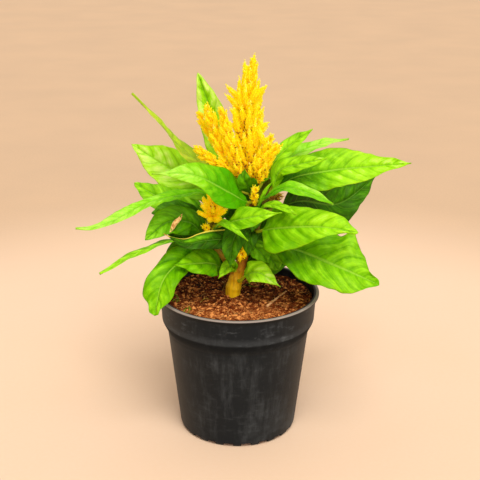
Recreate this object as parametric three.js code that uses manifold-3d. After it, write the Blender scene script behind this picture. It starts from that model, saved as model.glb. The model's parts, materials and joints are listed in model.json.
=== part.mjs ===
// A plume celosia in a round nursery pot, in millimetres.
// +Z is up, the foot of the pot stands on z = 0, and the pot's axis is the Z axis.
// The viewer stands at -Y, so +X is to the viewer's right.
import * as THREE from "three";
import { mergeVertices } from "three/addons/utils/BufferGeometryUtils.js";
import Module from "manifold-3d";

const wasm = await Module();
wasm.setup();

// Clearance between pieces that touch.
const gap = 0.3;

// The pot: a thin moulded cone with a wide collar, a small lip and slots round its foot.
const pot = {
  height: 113.2,
  lipRadius: 63.1,
  lipHeight: 1.7,
  collarTopRadius: 60.7,
  collarBottomRadius: 59.5,
  collarHeight: 22,
  bevelHeight: 8.5,
  bodyTopRadius: 55.3,
  bodyBottomRadius: 46.3,
  footRadius: 44.3,
  cornerHeight: 5,
  wall: 1.4,
  slots: 20,
  slotWidth: 7.5,
  slotHeight: 2.2,
  slotDepth: 4,
  drains: 5,
  drainRadius: 4,
  drainCircle: 27,
  segments: 48,
};

// The soil fills the pot to a little below the lip, and its top is a low mound.
const soil = { rimHeight: 104.6, crownHeight: 106.4 };

const colours = {
  pot: "#2d2d2c",
  soil: "#6b3a1c",
  root: "#d9c6a0",
  stem: "#b8942a",
  shoot: "#8a5a26",
  leaf: "#5fae12",
  paleLeaf: "#a6e657",
  darkLeaf: "#2c7a14",
  flower: "#ffd000",
  driedFlower: "#a8741e",
  twig: "#c39a62",
};

// Each stem is a route from its foot to its top, with radii spaced evenly along it.
const stems = {
  main_stem: {
    route: [
      [-4, 6, 102],
      [-4, 6, 111],
      [-1, 6, 123],
      [3, 5, 137],
      [7, 4, 153],
      [10, 3, 169],
      [11, 2, 183],
      [10, 1, 197],
    ],
    radii: [6, 5.7, 4.6, 3.5, 3, 2.7, 2.5, 2.4],
    colour: colours.stem,
  },
  branch_left: {
    parent: "main_stem",
    from: 126,
    route: [
      [-11, 0, 139],
      [-17, -3, 149],
      [-20, -6, 159],
      [-20, -8, 171],
    ],
    radii: [2.3, 2.2, 2.1, 2, 1.8],
    colour: colours.shoot,
  },
  branch_right: {
    parent: "main_stem",
    from: 157,
    route: [
      [16, 5, 168],
      [20, 6, 180],
      [22, 6, 193],
    ],
    radii: [1.8, 1.8, 1.7, 1.6],
    colour: colours.shoot,
  },
};

// Each leaf leaves its stem at a height, follows a midrib through its route to its tip, and turns its
// upper side towards face. Width is across the blade, fold is how far each half lifts in degrees,
// widest is where along the blade it is broadest, and stalk is the length of its bare petiole.
const leaves = [
  {
    name: "leaf_right_long",
    stem: "branch_right",
    at: 186,
    route: [[39, 8, 200], [68, 8, 207], [98, 6, 211], [129.3, 2, 215]],
    face: [0, -1, 0.9],
    width: 34,
    stalk: 12,
    widest: 0.38,
  },
  {
    name: "leaf_right_shaded",
    stem: "branch_right",
    at: 176,
    route: [[48, 30, 176], [82.5, 58, 166], [115, 80, 184]],
    face: [0.2, -1, 0.5],
    width: 39,
    stalk: 19,
    widest: 0.37,
    colour: colours.darkLeaf,
  },
  {
    name: "leaf_right_strap",
    stem: "main_stem",
    at: 185,
    route: [[34, -14, 200], [52, -26, 199], [68, -38, 195]],
    face: [0, -0.5, 1],
    width: 13,
    stalk: 8,
    widest: 0.45,
    colour: colours.paleLeaf,
  },
  {
    name: "leaf_right_front",
    stem: "main_stem",
    at: 162,
    route: [[27, -25, 171], [60, -42, 178], [86, -48.5, 176.5]],
    face: [0.1, -1, 0.7],
    width: 37,
    stalk: 18,
    widest: 0.3,
  },
  {
    name: "leaf_right_low",
    stem: "main_stem",
    at: 147,
    route: [[39, -15, 151], [71, -34, 146.8], [103, -46, 135.8]],
    face: [0.4, -1, 0.8],
    width: 47.5,
    stalk: 22,
    widest: 0.5,
  },
  {
    name: "leaf_top_right",
    stem: "main_stem",
    at: 193,
    route: [[28, 12, 214.5], [41, 18, 226], [56, 22, 236]],
    face: [-0.3, -1, 0.7],
    width: 14.5,
    stalk: 8,
    widest: 0.45,
  },
  {
    name: "leaf_top_back_right",
    stem: "branch_right",
    at: 191,
    route: [[40, 28, 211.3], [63, 45, 218.6], [88, 60, 219.3]],
    face: [0, -0.4, 1],
    width: 14,
    stalk: 10,
    widest: 0.42,
    colour: colours.paleLeaf,
  },
  {
    name: "leaf_right_upper",
    stem: "branch_right",
    at: 191,
    route: [[31, 2, 209], [46, -2, 215], [65, -8, 221]],
    face: [-0.1, -0.9, 0.9],
    width: 15,
    stalk: 6,
    widest: 0.45,
  },
  {
    name: "leaf_top_upright",
    stem: "main_stem",
    at: 189,
    route: [[-11.5, 32, 215], [-21.6, 38, 245], [-31.8, 38, 275.8]],
    face: [0.1, -1, 0.1],
    width: 26,
    stalk: 14,
    widest: 0.42,
    fold: 24,
  },
  {
    name: "leaf_left_edge_on",
    stem: "main_stem",
    at: 191,
    route: [[-38.5, 12, 219.9], [-56.6, 14, 238], [-69, 15, 252.3], [-80, 16, 264]],
    face: [0.6, -0.05, 1],
    width: 18,
    stalk: 14,
    widest: 0.38,
    fold: 10,
  },
  {
    name: "leaf_left_back",
    stem: "main_stem",
    at: 181,
    route: [[-34, 24, 193.5], [-58, 35, 203.5], [-84.6, 45, 217.7]],
    face: [-0.2, -1, 0.7],
    width: 33,
    stalk: 16,
    widest: 0.5,
  },
  {
    name: "leaf_left_over",
    stem: "main_stem",
    at: 185,
    route: [[-9, -20, 199], [-33, -37, 216], [-61, -46, 219]],
    face: [0, -1, 0.9],
    width: 30,
    stalk: 5,
    widest: 0.33,
    colour: colours.paleLeaf,
  },
  {
    name: "leaf_left_strap",
    stem: "branch_left",
    at: 170,
    route: [
      [-26, -4, 192], [-43, -17, 195], [-64, -33, 194.3], [-77.3, -45, 190.7],
      [-91.9, -55, 185.6], [-102.6, -60, 183.3], [-113.8, -62, 183.7],
    ],
    face: [0, -0.4, 1],
    width: 12.5,
    stalk: 20,
    widest: 0.5,
    colour: colours.paleLeaf,
  },
  {
    name: "leaf_left_mid",
    stem: "branch_left",
    at: 166,
    route: [[-35, 8, 175.5], [-58, 12, 182.5], [-80.6, 18, 193.8]],
    face: [0, -0.9, 0.8],
    width: 23,
    stalk: 10,
    widest: 0.45,
  },
  {
    name: "leaf_left_shaded",
    stem: "branch_left",
    at: 162,
    route: [[-33, -4, 173], [-49, -5, 179], [-65.5, -7, 177.5]],
    face: [0, -0.8, 0.8],
    width: 18,
    stalk: 8,
    widest: 0.5,
    colour: colours.darkLeaf,
  },
  {
    name: "leaf_left_torn",
    stem: "branch_left",
    at: 158,
    route: [[-35, -14, 172], [-52, -21, 173.5], [-67, -30, 166]],
    face: [-0.2, -1, 0.5],
    width: 22,
    stalk: 18,
    widest: 0.45,
    colour: colours.darkLeaf,
  },
  {
    name: "leaf_left_yellow_edge",
    stem: "main_stem",
    at: 158,
    route: [[-8, -18, 161.5], [-25, -29, 163.5], [-39, -34, 163], [-54, -40, 172.5]],
    face: [0, -1, 0.5],
    width: 14,
    stalk: 8,
    widest: 0.35,
    colour: colours.darkLeaf,
  },
  {
    name: "leaf_centre_drooping",
    stem: "main_stem",
    at: 163,
    route: [[0, -13, 166], [-5, -25, 158], [-6, -28, 142]],
    face: [0, -1, 0.5],
    width: 17,
    stalk: 10,
    widest: 0.42,
    colour: colours.darkLeaf,
  },
  {
    name: "leaf_left_narrow",
    stem: "branch_left",
    at: 153,
    route: [[-45, -22, 161.5], [-72, -38, 157.2], [-99.5, -55, 146.7]],
    face: [-0.2, 0.05, 1],
    width: 14,
    stalk: 12,
    widest: 0.58,
    fold: 6,
  },
  {
    name: "leaf_left_behind",
    stem: "branch_left",
    at: 149,
    route: [[-32, 2, 150], [-46, 0, 147], [-56.5, -6, 134]],
    face: [-0.3, -0.9, 0.8],
    width: 14,
    stalk: 8,
    widest: 0.5,
    colour: colours.darkLeaf,
  },
  {
    name: "leaf_left_hanging",
    stem: "branch_left",
    at: 144,
    route: [[-42, -22, 146], [-55, -38, 137], [-61.2, -48, 112.3]],
    face: [-0.3, -1, 0.4],
    width: 24,
    stalk: 26,
    widest: 0.6,
  },
  {
    name: "leaf_front_left",
    stem: "branch_left",
    at: 133,
    route: [[-19, -12, 139], [-31, -25, 144], [-47, -37, 147]],
    face: [0, -1, 0.8],
    width: 24,
    stalk: 11,
    widest: 0.4,
  },
  {
    name: "leaf_front_small",
    stem: "main_stem",
    at: 128,
    route: [[-6, -8, 136], [-10, -14, 135], [-15, -20, 130]],
    face: [-0.2, -1, 0.5],
    width: 9,
    stalk: 12,
    widest: 0.4,
  },
  {
    name: "leaf_front_bright",
    stem: "main_stem",
    at: 121,
    route: [[7, -10, 129.5], [16, -20, 135], [32, -24, 125]],
    face: [0.2, -1, 0.7],
    width: 19,
    stalk: 13,
    widest: 0.34,
  },
  {
    name: "leaf_centre_shaded",
    stem: "main_stem",
    at: 153,
    route: [[10, -3, 153], [17, -8, 147], [23, -12, 140]],
    face: [0.2, -1, 0.5],
    width: 16,
    stalk: 4,
    widest: 0.45,
    colour: colours.darkLeaf,
  },
  {
    name: "leaf_centre_low",
    stem: "main_stem",
    at: 150,
    route: [[20, 4, 144], [26, 0, 138], [31, -4, 131]],
    face: [0, -1, 0.6],
    width: 24,
    stalk: 5,
    widest: 0.5,
    colour: colours.darkLeaf,
  },
  {
    name: "leaf_centre_front",
    stem: "branch_left",
    at: 169,
    route: [[-3, -32, 180], [14, -39, 186], [31, -43, 190]],
    face: [0, -1, 0.8],
    width: 18,
    stalk: 24,
    widest: 0.32,
  },
  {
    name: "leaf_centre_narrow",
    stem: "main_stem",
    at: 171,
    route: [[20, -16, 187], [31, -30, 190], [42, -42, 188]],
    face: [0, -0.6, 1],
    width: 9,
    stalk: 6,
    widest: 0.5,
  },
  {
    name: "leaf_centre_blade",
    stem: "branch_left",
    at: 167,
    route: [[-12.1, -31, 178.4], [-2.5, -43, 177], [7, -46, 169.4]],
    face: [0, -0.8, 0.8],
    width: 6.5,
    stalk: 5,
    widest: 0.45,
  },
  {
    name: "leaf_under_plume",
    stem: "main_stem",
    at: 194,
    route: [[7, -6.5, 199], [4.6, -11, 206], [5.2, -10.5, 213]],
    face: [0, -1, 0.2],
    width: 13,
    stalk: 2,
    widest: 0.4,
    colour: colours.darkLeaf,
  },
  {
    name: "leaf_sliver",
    stem: "main_stem",
    at: 178,
    route: [[17, -9, 190], [21, -12, 199], [26, -13, 205]],
    face: [0, -1, 0.5],
    width: 3,
    stalk: 4,
    widest: 0.5,
  },
  {
    name: "leaf_left_small",
    stem: "branch_left",
    at: 156,
    route: [[-25, -18, 160], [-32, -24, 160], [-40, -28, 158]],
    face: [0, -0.8, 0.8],
    width: 7,
    stalk: 4,
    widest: 0.5,
  },
  {
    name: "leaf_right_brown",
    stem: "branch_right",
    at: 180,
    route: [[20, 12, 187], [21, 15, 193], [22, 17, 200]],
    face: [0.1, -1, 0.4],
    width: 15,
    stalk: 3,
    widest: 0.5,
    colour: colours.shoot,
  },
  {
    name: "leaf_back_high",
    stem: "main_stem",
    at: 178,
    route: [[15, 35, 200], [20, 70, 200], [22, 95, 188]],
    face: [0, 0.4, 1],
    width: 30,
    stalk: 14,
    widest: 0.42,
  },
  {
    name: "leaf_back_left",
    stem: "main_stem",
    at: 166,
    route: [[-13, 24, 180], [-27, 44, 188], [-42, 68, 188]],
    face: [-0.1, -0.8, 0.8],
    width: 30,
    stalk: 14,
    widest: 0.42,
  },
  {
    name: "leaf_back_right",
    stem: "main_stem",
    at: 149,
    route: [[28, 18, 152], [44, 34, 158], [58, 50, 156]],
    face: [0.2, -0.4, 1],
    width: 26,
    stalk: 14,
    widest: 0.42,
  },
  {
    name: "leaf_back_low_left",
    stem: "main_stem",
    at: 146,
    route: [[-18, 22, 152], [-32, 40, 160], [-46, 56, 160]],
    face: [-0.2, -0.5, 1],
    width: 28,
    stalk: 12,
    widest: 0.42,
    colour: colours.darkLeaf,
  },
  {
    name: "leaf_back_low",
    stem: "main_stem",
    at: 142,
    route: [[6, 21, 154], [8, 31, 167], [10, 37, 184]],
    face: [0, -1, 0.3],
    width: 38,
    stalk: 14,
    widest: 0.42,
    colour: colours.darkLeaf,
  },
];

// Each plume is a spike: its path from base to tip, and its radii at even steps along that path.
const plumes = [
  {
    name: "plume_main",
    route: [[7, 0, 225], [6, 0, 255], [7.8, 0, 277], [11, 0, 296]],
    radii: [2.4, 8, 12, 12.6, 12, 10.6, 6.9, 4.8, 2],
    stem: "main_stem",
  },
  {
    name: "plume_left_tall",
    route: [[1, -3, 203], [-12, -4, 226], [-24.9, -4, 262]],
    radii: [1.5, 5.4, 6.4, 5.8, 4.6, 2.2],
  },
  {
    name: "plume_left_inner",
    route: [[1, -8, 206], [-7.5, -10, 235], [-13.3, -10, 261]],
    radii: [1.5, 5.4, 5.6, 4.8, 3.8, 1.9],
  },
  {
    name: "plume_left_outer",
    route: [[-5, 1, 207], [-17, 5, 232], [-31.6, 5, 254]],
    radii: [1.5, 4.4, 5, 4.8, 3.8, 1.8],
  },
  {
    name: "plume_left_low",
    route: [[-6, -8, 210], [-19, -10, 219.5], [-32, -10, 228.8]],
    radii: [1.5, 3.8, 4.2, 4.2, 3.8, 2.2],
  },
  {
    name: "plume_right_tall",
    route: [[15, -4, 200], [17.5, -6, 222], [24.2, -6, 237.8]],
    radii: [1.5, 5, 5.6, 4.6, 3.1, 1.5],
  },
  {
    name: "plume_right_low",
    route: [[18, -3, 203], [21.5, -3, 218], [29.2, -4, 230]],
    radii: [1.5, 4.4, 5, 4.4, 3.4, 1.8],
  },
  {
    name: "plume_side",
    route: [[-18, -14, 182], [-20, -14, 194]],
    radii: [1.5, 6, 8.5, 8, 5.5, 2],
    stem: "branch_left",
  },
  {
    name: "bud_centre",
    route: [[12, -8, 191], [12, -9, 199]],
    radii: [1, 3, 3.4, 2.6, 1.2],
    stem: "main_stem",
    at: 184,
  },
  {
    name: "bud_low",
    route: [[2, -6, 143.5], [3, -8, 150]],
    radii: [1.5, 4.2, 5, 4.6, 2.6],
    stem: "main_stem",
    at: 139,
  },
  {
    name: "bud_left",
    route: [[-23, -12, 165], [-25, -14, 170]],
    radii: [0.8, 2.3, 2.6, 1.2],
    stem: "branch_left",
    at: 162,
  },
  {
    name: "bud_dried",
    route: [[26, 0, 187], [29.6, -3, 188.4], [34.1, -4, 189.5]],
    radii: [1, 2.6, 3, 2.4, 1.2],
    colour: colours.driedFlower,
    stem: "branch_right",
    at: 184,
  },
];

// Twigs that lie on the soil.
const twigs = [
  { name: "twig_long", route: [[22, -19, 107.2], [31, -3, 107.7], [38, 11, 107.2]], radius: 0.9 },
  { name: "twig_short", route: [[34, 22, 106.8], [43, 19, 106.7], [51, 15, 106.1]], radius: 0.6 },
];

const toVector = (point) => new THREE.Vector3(...point);
const degrees = (angle) => (angle * Math.PI) / 180;

function material(colour, roughness) {
  return new THREE.MeshStandardMaterial({ color: colour, roughness, metalness: 0 });
}

// A closed solid from rings that turn the right-handed way about the direction they follow.
function loft(rings) {
  const count = rings[0].length;
  const faces = [];
  for (let ring = 0; ring + 1 < rings.length; ring++) {
    for (let side = 0; side < count; side++) {
      const a = ring * count + side;
      const b = ring * count + ((side + 1) % count);
      faces.push(a, b, b + count, a, b + count, a + count);
    }
  }
  const last = (rings.length - 1) * count;
  for (let side = 1; side + 1 < count; side++) {
    faces.push(0, side + 1, side);
    faces.push(last, last + side, last + side + 1);
  }
  const geometry = new THREE.BufferGeometry().setFromPoints(rings.flat());
  geometry.setIndex(faces);
  return geometry;
}

// The side and up directions of a section across a path.
function sectionAxes(tangent, face) {
  const up = face.clone().addScaledVector(tangent, -face.dot(tangent)).normalize();
  const side = new THREE.Vector3().crossVectors(up, tangent);
  return { up, side };
}

// A round rod along a curve, whose radius follows the list from its start to its end.
function rod(curve, radii, steps, sides, reach = [0, 1]) {
  const rings = [];
  const face = new THREE.Vector3(0.2, 1, 0.1);
  for (let i = 0; i <= steps; i++) {
    const along = THREE.MathUtils.lerp(reach[0], reach[1], i / steps);
    const { up, side } = sectionAxes(curve.getTangentAt(along), face);
    const centre = curve.getPointAt(along);
    const radius = listValue(radii, along);
    rings.push(
      Array.from({ length: sides }, (_, k) => {
        const turn = (k / sides) * 2 * Math.PI;
        return centre
          .clone()
          .addScaledVector(side, radius * Math.cos(turn))
          .addScaledVector(up, radius * Math.sin(turn));
      }),
    );
  }
  return loft(rings);
}

// The value at a share of the way through an evenly spaced list.
function listValue(list, share) {
  const place = THREE.MathUtils.clamp(share, 0, 1) * (list.length - 1);
  const index = Math.min(Math.floor(place), list.length - 2);
  return THREE.MathUtils.lerp(list[index], list[index + 1], place - index);
}

// Where a stem is at a height: its centre, its direction and its radius.
function onStem(stem, height) {
  let low = 0;
  let high = 1;
  for (let i = 0; i < 30; i++) {
    const middle = (low + high) / 2;
    if (stem.curve.getPointAt(middle).z < height) low = middle;
    else high = middle;
  }
  return {
    centre: stem.curve.getPointAt(low),
    tangent: stem.curve.getTangentAt(low),
    radius: listValue(stem.radii, low),
  };
}

// The point just off a stem's bark on the side that faces the target, and the way out from there.
function seat(stem, height, target) {
  const { centre, tangent, radius } = onStem(stem, height);
  const out = toVector(target).sub(centre);
  out.addScaledVector(tangent, -out.dot(tangent)).normalize();
  return { point: centre.clone().addScaledVector(out, radius + gap), out };
}

function toManifold(geometry) {
  const bare = geometry.clone();
  bare.deleteAttribute("normal");
  bare.deleteAttribute("uv");
  const merged = mergeVertices(bare, 1e-4);
  return new wasm.Manifold(
    new wasm.Mesh({
      numProp: 3,
      vertProperties: new Float32Array(merged.attributes.position.array),
      triVerts: new Uint32Array(merged.index.array),
    }),
  );
}

function toGeometry(solid) {
  const mesh = solid.getMesh();
  const geometry = new THREE.BufferGeometry();
  geometry.setAttribute("position", new THREE.BufferAttribute(mesh.vertProperties, 3));
  geometry.setIndex(new THREE.BufferAttribute(mesh.triVerts, 1));
  return geometry;
}

// A lathe about +Z from (radius, height) points that start and end on the axis.
function turned(profile) {
  const geometry = new THREE.LatheGeometry(
    profile.map(([radius, height]) => new THREE.Vector2(radius, height)),
    pot.segments,
  );
  return geometry.rotateX(Math.PI / 2);
}

// Heights of the pot's steps, and its inner wall from the floor up.
const collarFoot = pot.height - pot.collarHeight;
const bevelFoot = collarFoot - pot.bevelHeight;
const innerWall = [
  [pot.footRadius - pot.wall + 0.6, pot.wall],
  [pot.bodyBottomRadius - pot.wall, pot.cornerHeight + pot.wall],
  [pot.bodyTopRadius - pot.wall, bevelFoot + 1],
  [pot.collarBottomRadius - pot.wall, collarFoot + 1],
  [pot.collarTopRadius - pot.wall, pot.height],
];

function makePot() {
  const outerWall = [
    [0, 0],
    [pot.footRadius, 0],
    [pot.footRadius + 1.5, pot.cornerHeight * 0.4],
    [pot.bodyBottomRadius, pot.cornerHeight],
    [pot.bodyTopRadius, bevelFoot],
    [pot.collarBottomRadius, collarFoot],
    [pot.collarTopRadius, pot.height - pot.lipHeight],
    [pot.lipRadius, pot.height - pot.lipHeight],
    [pot.lipRadius, pot.height],
  ];
  const profile = [...outerWall, ...innerWall.toReversed(), [0, pot.wall]];
  let solid = toManifold(turned(profile));
  for (let i = 0; i < pot.slots; i++) {
    const slot = new THREE.BoxGeometry(2 * pot.slotDepth, pot.slotWidth, 2 * pot.slotHeight);
    slot.translate(pot.footRadius, 0, 0);
    slot.rotateZ(((i + 0.5) / pot.slots) * 2 * Math.PI);
    solid = solid.subtract(toManifold(slot));
  }
  for (let i = 0; i < pot.drains; i++) {
    const drain = new THREE.CylinderGeometry(pot.drainRadius, pot.drainRadius, 4 * pot.wall, 12);
    drain.rotateX(Math.PI / 2);
    drain.translate(pot.drainCircle, 0, 0);
    drain.rotateZ((i / pot.drains) * 2 * Math.PI);
    solid = solid.subtract(toManifold(drain));
  }
  return toGeometry(solid);
}

// Roots: a tap root straight down from the stem, and side roots that fan out from it.
const rootRun = {
  tapLength: 62,
  tapRadius: 3.4,
  sideRoots: 7,
  sideRadius: 1.3,
  sideReach: 34,
  sideDrop: 48,
  firstDepth: 8,
  depthStep: 5,
};

// The roots as one solid, grown by extra all round so that the soil can be cut to clear them.
function rootSolids(extra) {
  const foot = stems.main_stem.curve.getPointAt(0);
  const top = foot.z - gap;
  const middle = new THREE.Vector3(foot.x + 1, foot.y - 2, top - rootRun.tapLength * 0.5);
  const tap = new THREE.CatmullRomCurve3([
    new THREE.Vector3(foot.x, foot.y, top + extra),
    new THREE.Vector3(foot.x, foot.y, top - 4),
    middle,
    new THREE.Vector3(foot.x + 3, foot.y - 3, top - rootRun.tapLength - extra),
  ]);
  const tapRadii = [stems.main_stem.radii[0] - 0.6, rootRun.tapRadius, 1.5].map((r) => r + extra);
  let solid = toManifold(rod(tap, tapRadii, 6, 10));
  for (let i = 0; i < rootRun.sideRoots; i++) {
    const turn = i * degrees(137.5);
    const depth = rootRun.firstDepth + i * rootRun.depthStep;
    const outward = (share) => new THREE.Vector3(
      middle.x + Math.cos(turn) * rootRun.sideReach * share,
      middle.y + Math.sin(turn) * rootRun.sideReach * share,
      top - depth - rootRun.sideDrop * share * share,
    );
    const end = 0.92 + extra / rootRun.sideReach;
    const side = new THREE.CatmullRomCurve3([outward(0), outward(0.35), outward(0.7), outward(end)]);
    const radii = [rootRun.sideRadius * 1.4, rootRun.sideRadius, rootRun.sideRadius * 0.6];
    solid = solid.add(toManifold(rod(side, radii.map((r) => r + extra), 6, 6)));
  }
  return solid;
}

function makeSoil() {
  const slope = (pot.collarTopRadius - pot.collarBottomRadius) / (pot.collarHeight - 1);
  const edge = pot.collarBottomRadius - pot.wall + slope * (soil.rimHeight - collarFoot) - gap;
  const profile = [
    [0, pot.wall + gap],
    ...innerWall.slice(0, 4).map(([radius, height]) => [radius - gap, height + gap]),
    [edge, soil.rimHeight],
    [edge * 0.75, soil.rimHeight + 0.8],
    [edge * 0.4, soil.crownHeight - 0.3],
    [0, soil.crownHeight],
  ];
  const foot = stems.main_stem;
  const sunkStem = rod(foot.curve, foot.radii.map((r) => r + gap), 24, 12, [0, 0.16]);
  const socket = toManifold(sunkStem).translate([0, 0, -gap]);
  return toGeometry(toManifold(turned(profile)).subtract(rootSolids(gap)).subtract(socket));
}

function makeStem(name) {
  const stem = stems[name];
  const points = stem.route.map(toVector);
  if (stem.parent) {
    const { point, out } = seat(stems[stem.parent], stem.from, stem.route[0]);
    points.unshift(point, point.clone().addScaledVector(out, 1.5));
  }
  stem.curve = new THREE.CatmullRomCurve3(points, false, "centripetal");
  return rod(stem.curve, stem.radii, stem.parent ? 8 : 16, stem.parent ? 8 : 12);
}

// How broad the blade is at a share of its length, as a part of its full width.
function bladeShape(share, widest) {
  const rise = 0.75;
  const fall = (rise * (1 - widest)) / widest;
  return (share / widest) ** rise * ((1 - share) / (1 - widest)) ** fall;
}

const petiole = { radius: 1.1, thickness: 2 };
const blade = { thickness: 1.1, tipWidth: 0.7, steps: 7, fold: 12 };

function leafCurve(leaf) {
  const { point, out } = seat(stems[leaf.stem], leaf.at, leaf.route[0]);
  const points = [point, point.clone().addScaledVector(out, 2), ...leaf.route.map(toVector)];
  return { curve: new THREE.CatmullRomCurve3(points, false, "centripetal"), out };
}

// One section of a leaf: the edges lie on its middle surface, and the middle is the thickest.
function leafSection(centre, axes, half, thickness, fold) {
  const across = [1, 0.5, 0, -0.5, -1];
  const point = (share, side) =>
    centre
      .clone()
      .addScaledVector(axes.side, share * half * Math.cos(fold))
      .addScaledVector(axes.up, Math.abs(share) * half * Math.sin(fold) + side * thickness * 0.5);
  const top = across.map((share) => point(share, Math.sqrt(1 - share * share)));
  const inner = across.slice(1, -1).toReversed();
  const under = inner.map((share) => point(share, -Math.sqrt(1 - share * share)));
  return [...top, ...under];
}

function makeLeaf(leaf) {
  const { curve, out } = leafCurve(leaf);
  const length = curve.getLength();
  const stalkShare = leaf.stalk / length;
  const face = toVector(leaf.face);
  const fold = degrees(leaf.fold ?? blade.fold);
  const rings = [];
  const stalkStops = [0, 0.5];
  for (const stop of stalkStops) {
    const share = stop * stalkShare;
    const axes = sectionAxes(stop === 0 ? out : curve.getTangentAt(share), face);
    rings.push(leafSection(curve.getPointAt(share), axes, petiole.radius, petiole.thickness, 0));
  }
  for (let i = 0; i <= blade.steps; i++) {
    const share = i / blade.steps;
    const along = stalkShare + (1 - stalkShare) * share;
    const half = Math.max(
      (leaf.width / 2) * bladeShape(share, leaf.widest),
      THREE.MathUtils.lerp(petiole.radius, blade.tipWidth / 2, share),
    );
    const thinning = THREE.MathUtils.lerp(petiole.thickness, blade.thickness, Math.min(1, share * 3));
    const thickness = thinning * (1 - 0.45 * share);
    const axes = sectionAxes(curve.getTangentAt(along), face);
    const spread = THREE.MathUtils.clamp((half - petiole.radius) / 3, 0, 1);
    rings.push(leafSection(curve.getPointAt(along), axes, half, thickness, fold * spread));
  }
  return loft(rings);
}

// The first points of a plume that sits on the side of its stem, or on the stem's end.
function plumeFoot(plume) {
  if (!plume.stem) return [];
  const stem = stems[plume.stem];
  const end = stem.curve.getPointAt(1);
  const onward = stem.curve.getTangentAt(1);
  const { point, out } = plume.at
    ? seat(stem, plume.at, plume.route[0])
    : { point: end.addScaledVector(onward, gap), out: onward };
  return [point, point.clone().addScaledVector(out, 1.5)];
}

function makePlume(plume, extra = 0) {
  const curve = new THREE.CatmullRomCurve3([...plumeFoot(plume), ...plume.route.map(toVector)]);
  return rod(curve, plume.radii.map((radius) => radius + extra), 8, 9);
}

function makeTwig(twig) {
  const section = new THREE.Shape();
  section.absarc(0, 0, twig.radius, 0, 2 * Math.PI, false);
  const path = new THREE.CatmullRomCurve3(twig.route.map(toVector));
  return new THREE.ExtrudeGeometry(section, { steps: 8, curveSegments: 3, extrudePath: path });
}

const plant = new THREE.Group();

function place(name, geometry, colour, roughness) {
  const mesh = new THREE.Mesh(geometry, material(colour, roughness));
  mesh.name = name;
  plant.add(mesh);
}

place("nursery_pot", makePot(), colours.pot, 0.6);
for (const name of Object.keys(stems)) place(name, makeStem(name), stems[name].colour, 0.6);
place("root_system", toGeometry(rootSolids(0)), colours.root, 0.9);
place("potting_soil", makeSoil(), colours.soil, 0.95);
for (const leaf of leaves) place(leaf.name, makeLeaf(leaf), leaf.colour ?? colours.leaf, 0.5);

// Plumes crowd together: each keeps clear of those before it.
const packed = [];
for (const plume of plumes) {
  let solid = toManifold(makePlume(plume));
  for (const other of packed) solid = solid.subtract(other);
  packed.push(toManifold(makePlume(plume, gap)));
  place(plume.name, toGeometry(solid), plume.colour ?? colours.flower, 0.8);
}
for (const twig of twigs) place(twig.name, makeTwig(twig), colours.twig, 0.9);

export default plant;
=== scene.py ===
# A yellow plume celosia in a black nursery pot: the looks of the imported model.
# Tables and sizes are in millimetres, as a gardener would read them. Shaders read places in metres.
import json
import math
import random

import bmesh
import bpy
import numpy as np
from mathutils import Matrix, Vector, noise

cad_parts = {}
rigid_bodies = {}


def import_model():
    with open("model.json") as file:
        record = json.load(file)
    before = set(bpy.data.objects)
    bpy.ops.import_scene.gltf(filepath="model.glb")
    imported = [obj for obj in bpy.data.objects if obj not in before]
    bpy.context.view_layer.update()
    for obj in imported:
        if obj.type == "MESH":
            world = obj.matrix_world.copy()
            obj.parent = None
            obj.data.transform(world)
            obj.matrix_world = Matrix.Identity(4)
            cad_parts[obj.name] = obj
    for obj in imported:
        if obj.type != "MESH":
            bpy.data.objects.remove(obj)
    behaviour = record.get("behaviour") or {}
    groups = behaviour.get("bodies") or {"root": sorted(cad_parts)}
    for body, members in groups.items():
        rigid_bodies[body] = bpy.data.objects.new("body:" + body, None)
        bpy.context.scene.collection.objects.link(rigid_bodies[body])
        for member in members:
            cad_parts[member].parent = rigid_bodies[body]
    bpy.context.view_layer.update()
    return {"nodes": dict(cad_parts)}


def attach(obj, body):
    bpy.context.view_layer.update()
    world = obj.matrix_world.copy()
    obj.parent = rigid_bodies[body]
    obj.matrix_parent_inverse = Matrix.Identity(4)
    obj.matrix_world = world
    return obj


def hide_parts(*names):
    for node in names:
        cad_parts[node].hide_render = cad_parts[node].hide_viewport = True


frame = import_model()
mm = 0.001
gap = 0.3  # clearance between touching pieces, as in the solids
fullTurn = 2 * math.pi
print("frame loaded with", len(frame["nodes"]), "nodes")


# A socket of a node tree. Sums on it add Math nodes, so shader maths reads as plain expressions.
class Wire:
    def __init__(self, graph, socket):
        self.graph = graph
        self.socket = socket

    def math(self, operation, *values):
        return self.graph.node("ShaderNodeMath", {"operation": operation}, values)

    def __add__(self, other):
        return self.math("ADD", self, other)

    def __sub__(self, other):
        return self.math("SUBTRACT", self, other)

    def __rsub__(self, other):
        return self.math("SUBTRACT", other, self)

    def __mul__(self, other):
        return self.math("MULTIPLY", self, other)

    def __pow__(self, other):
        return self.math("POWER", self, other)

    def __abs__(self):
        return self.math("ABSOLUTE", self)

    __radd__ = __add__


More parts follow.
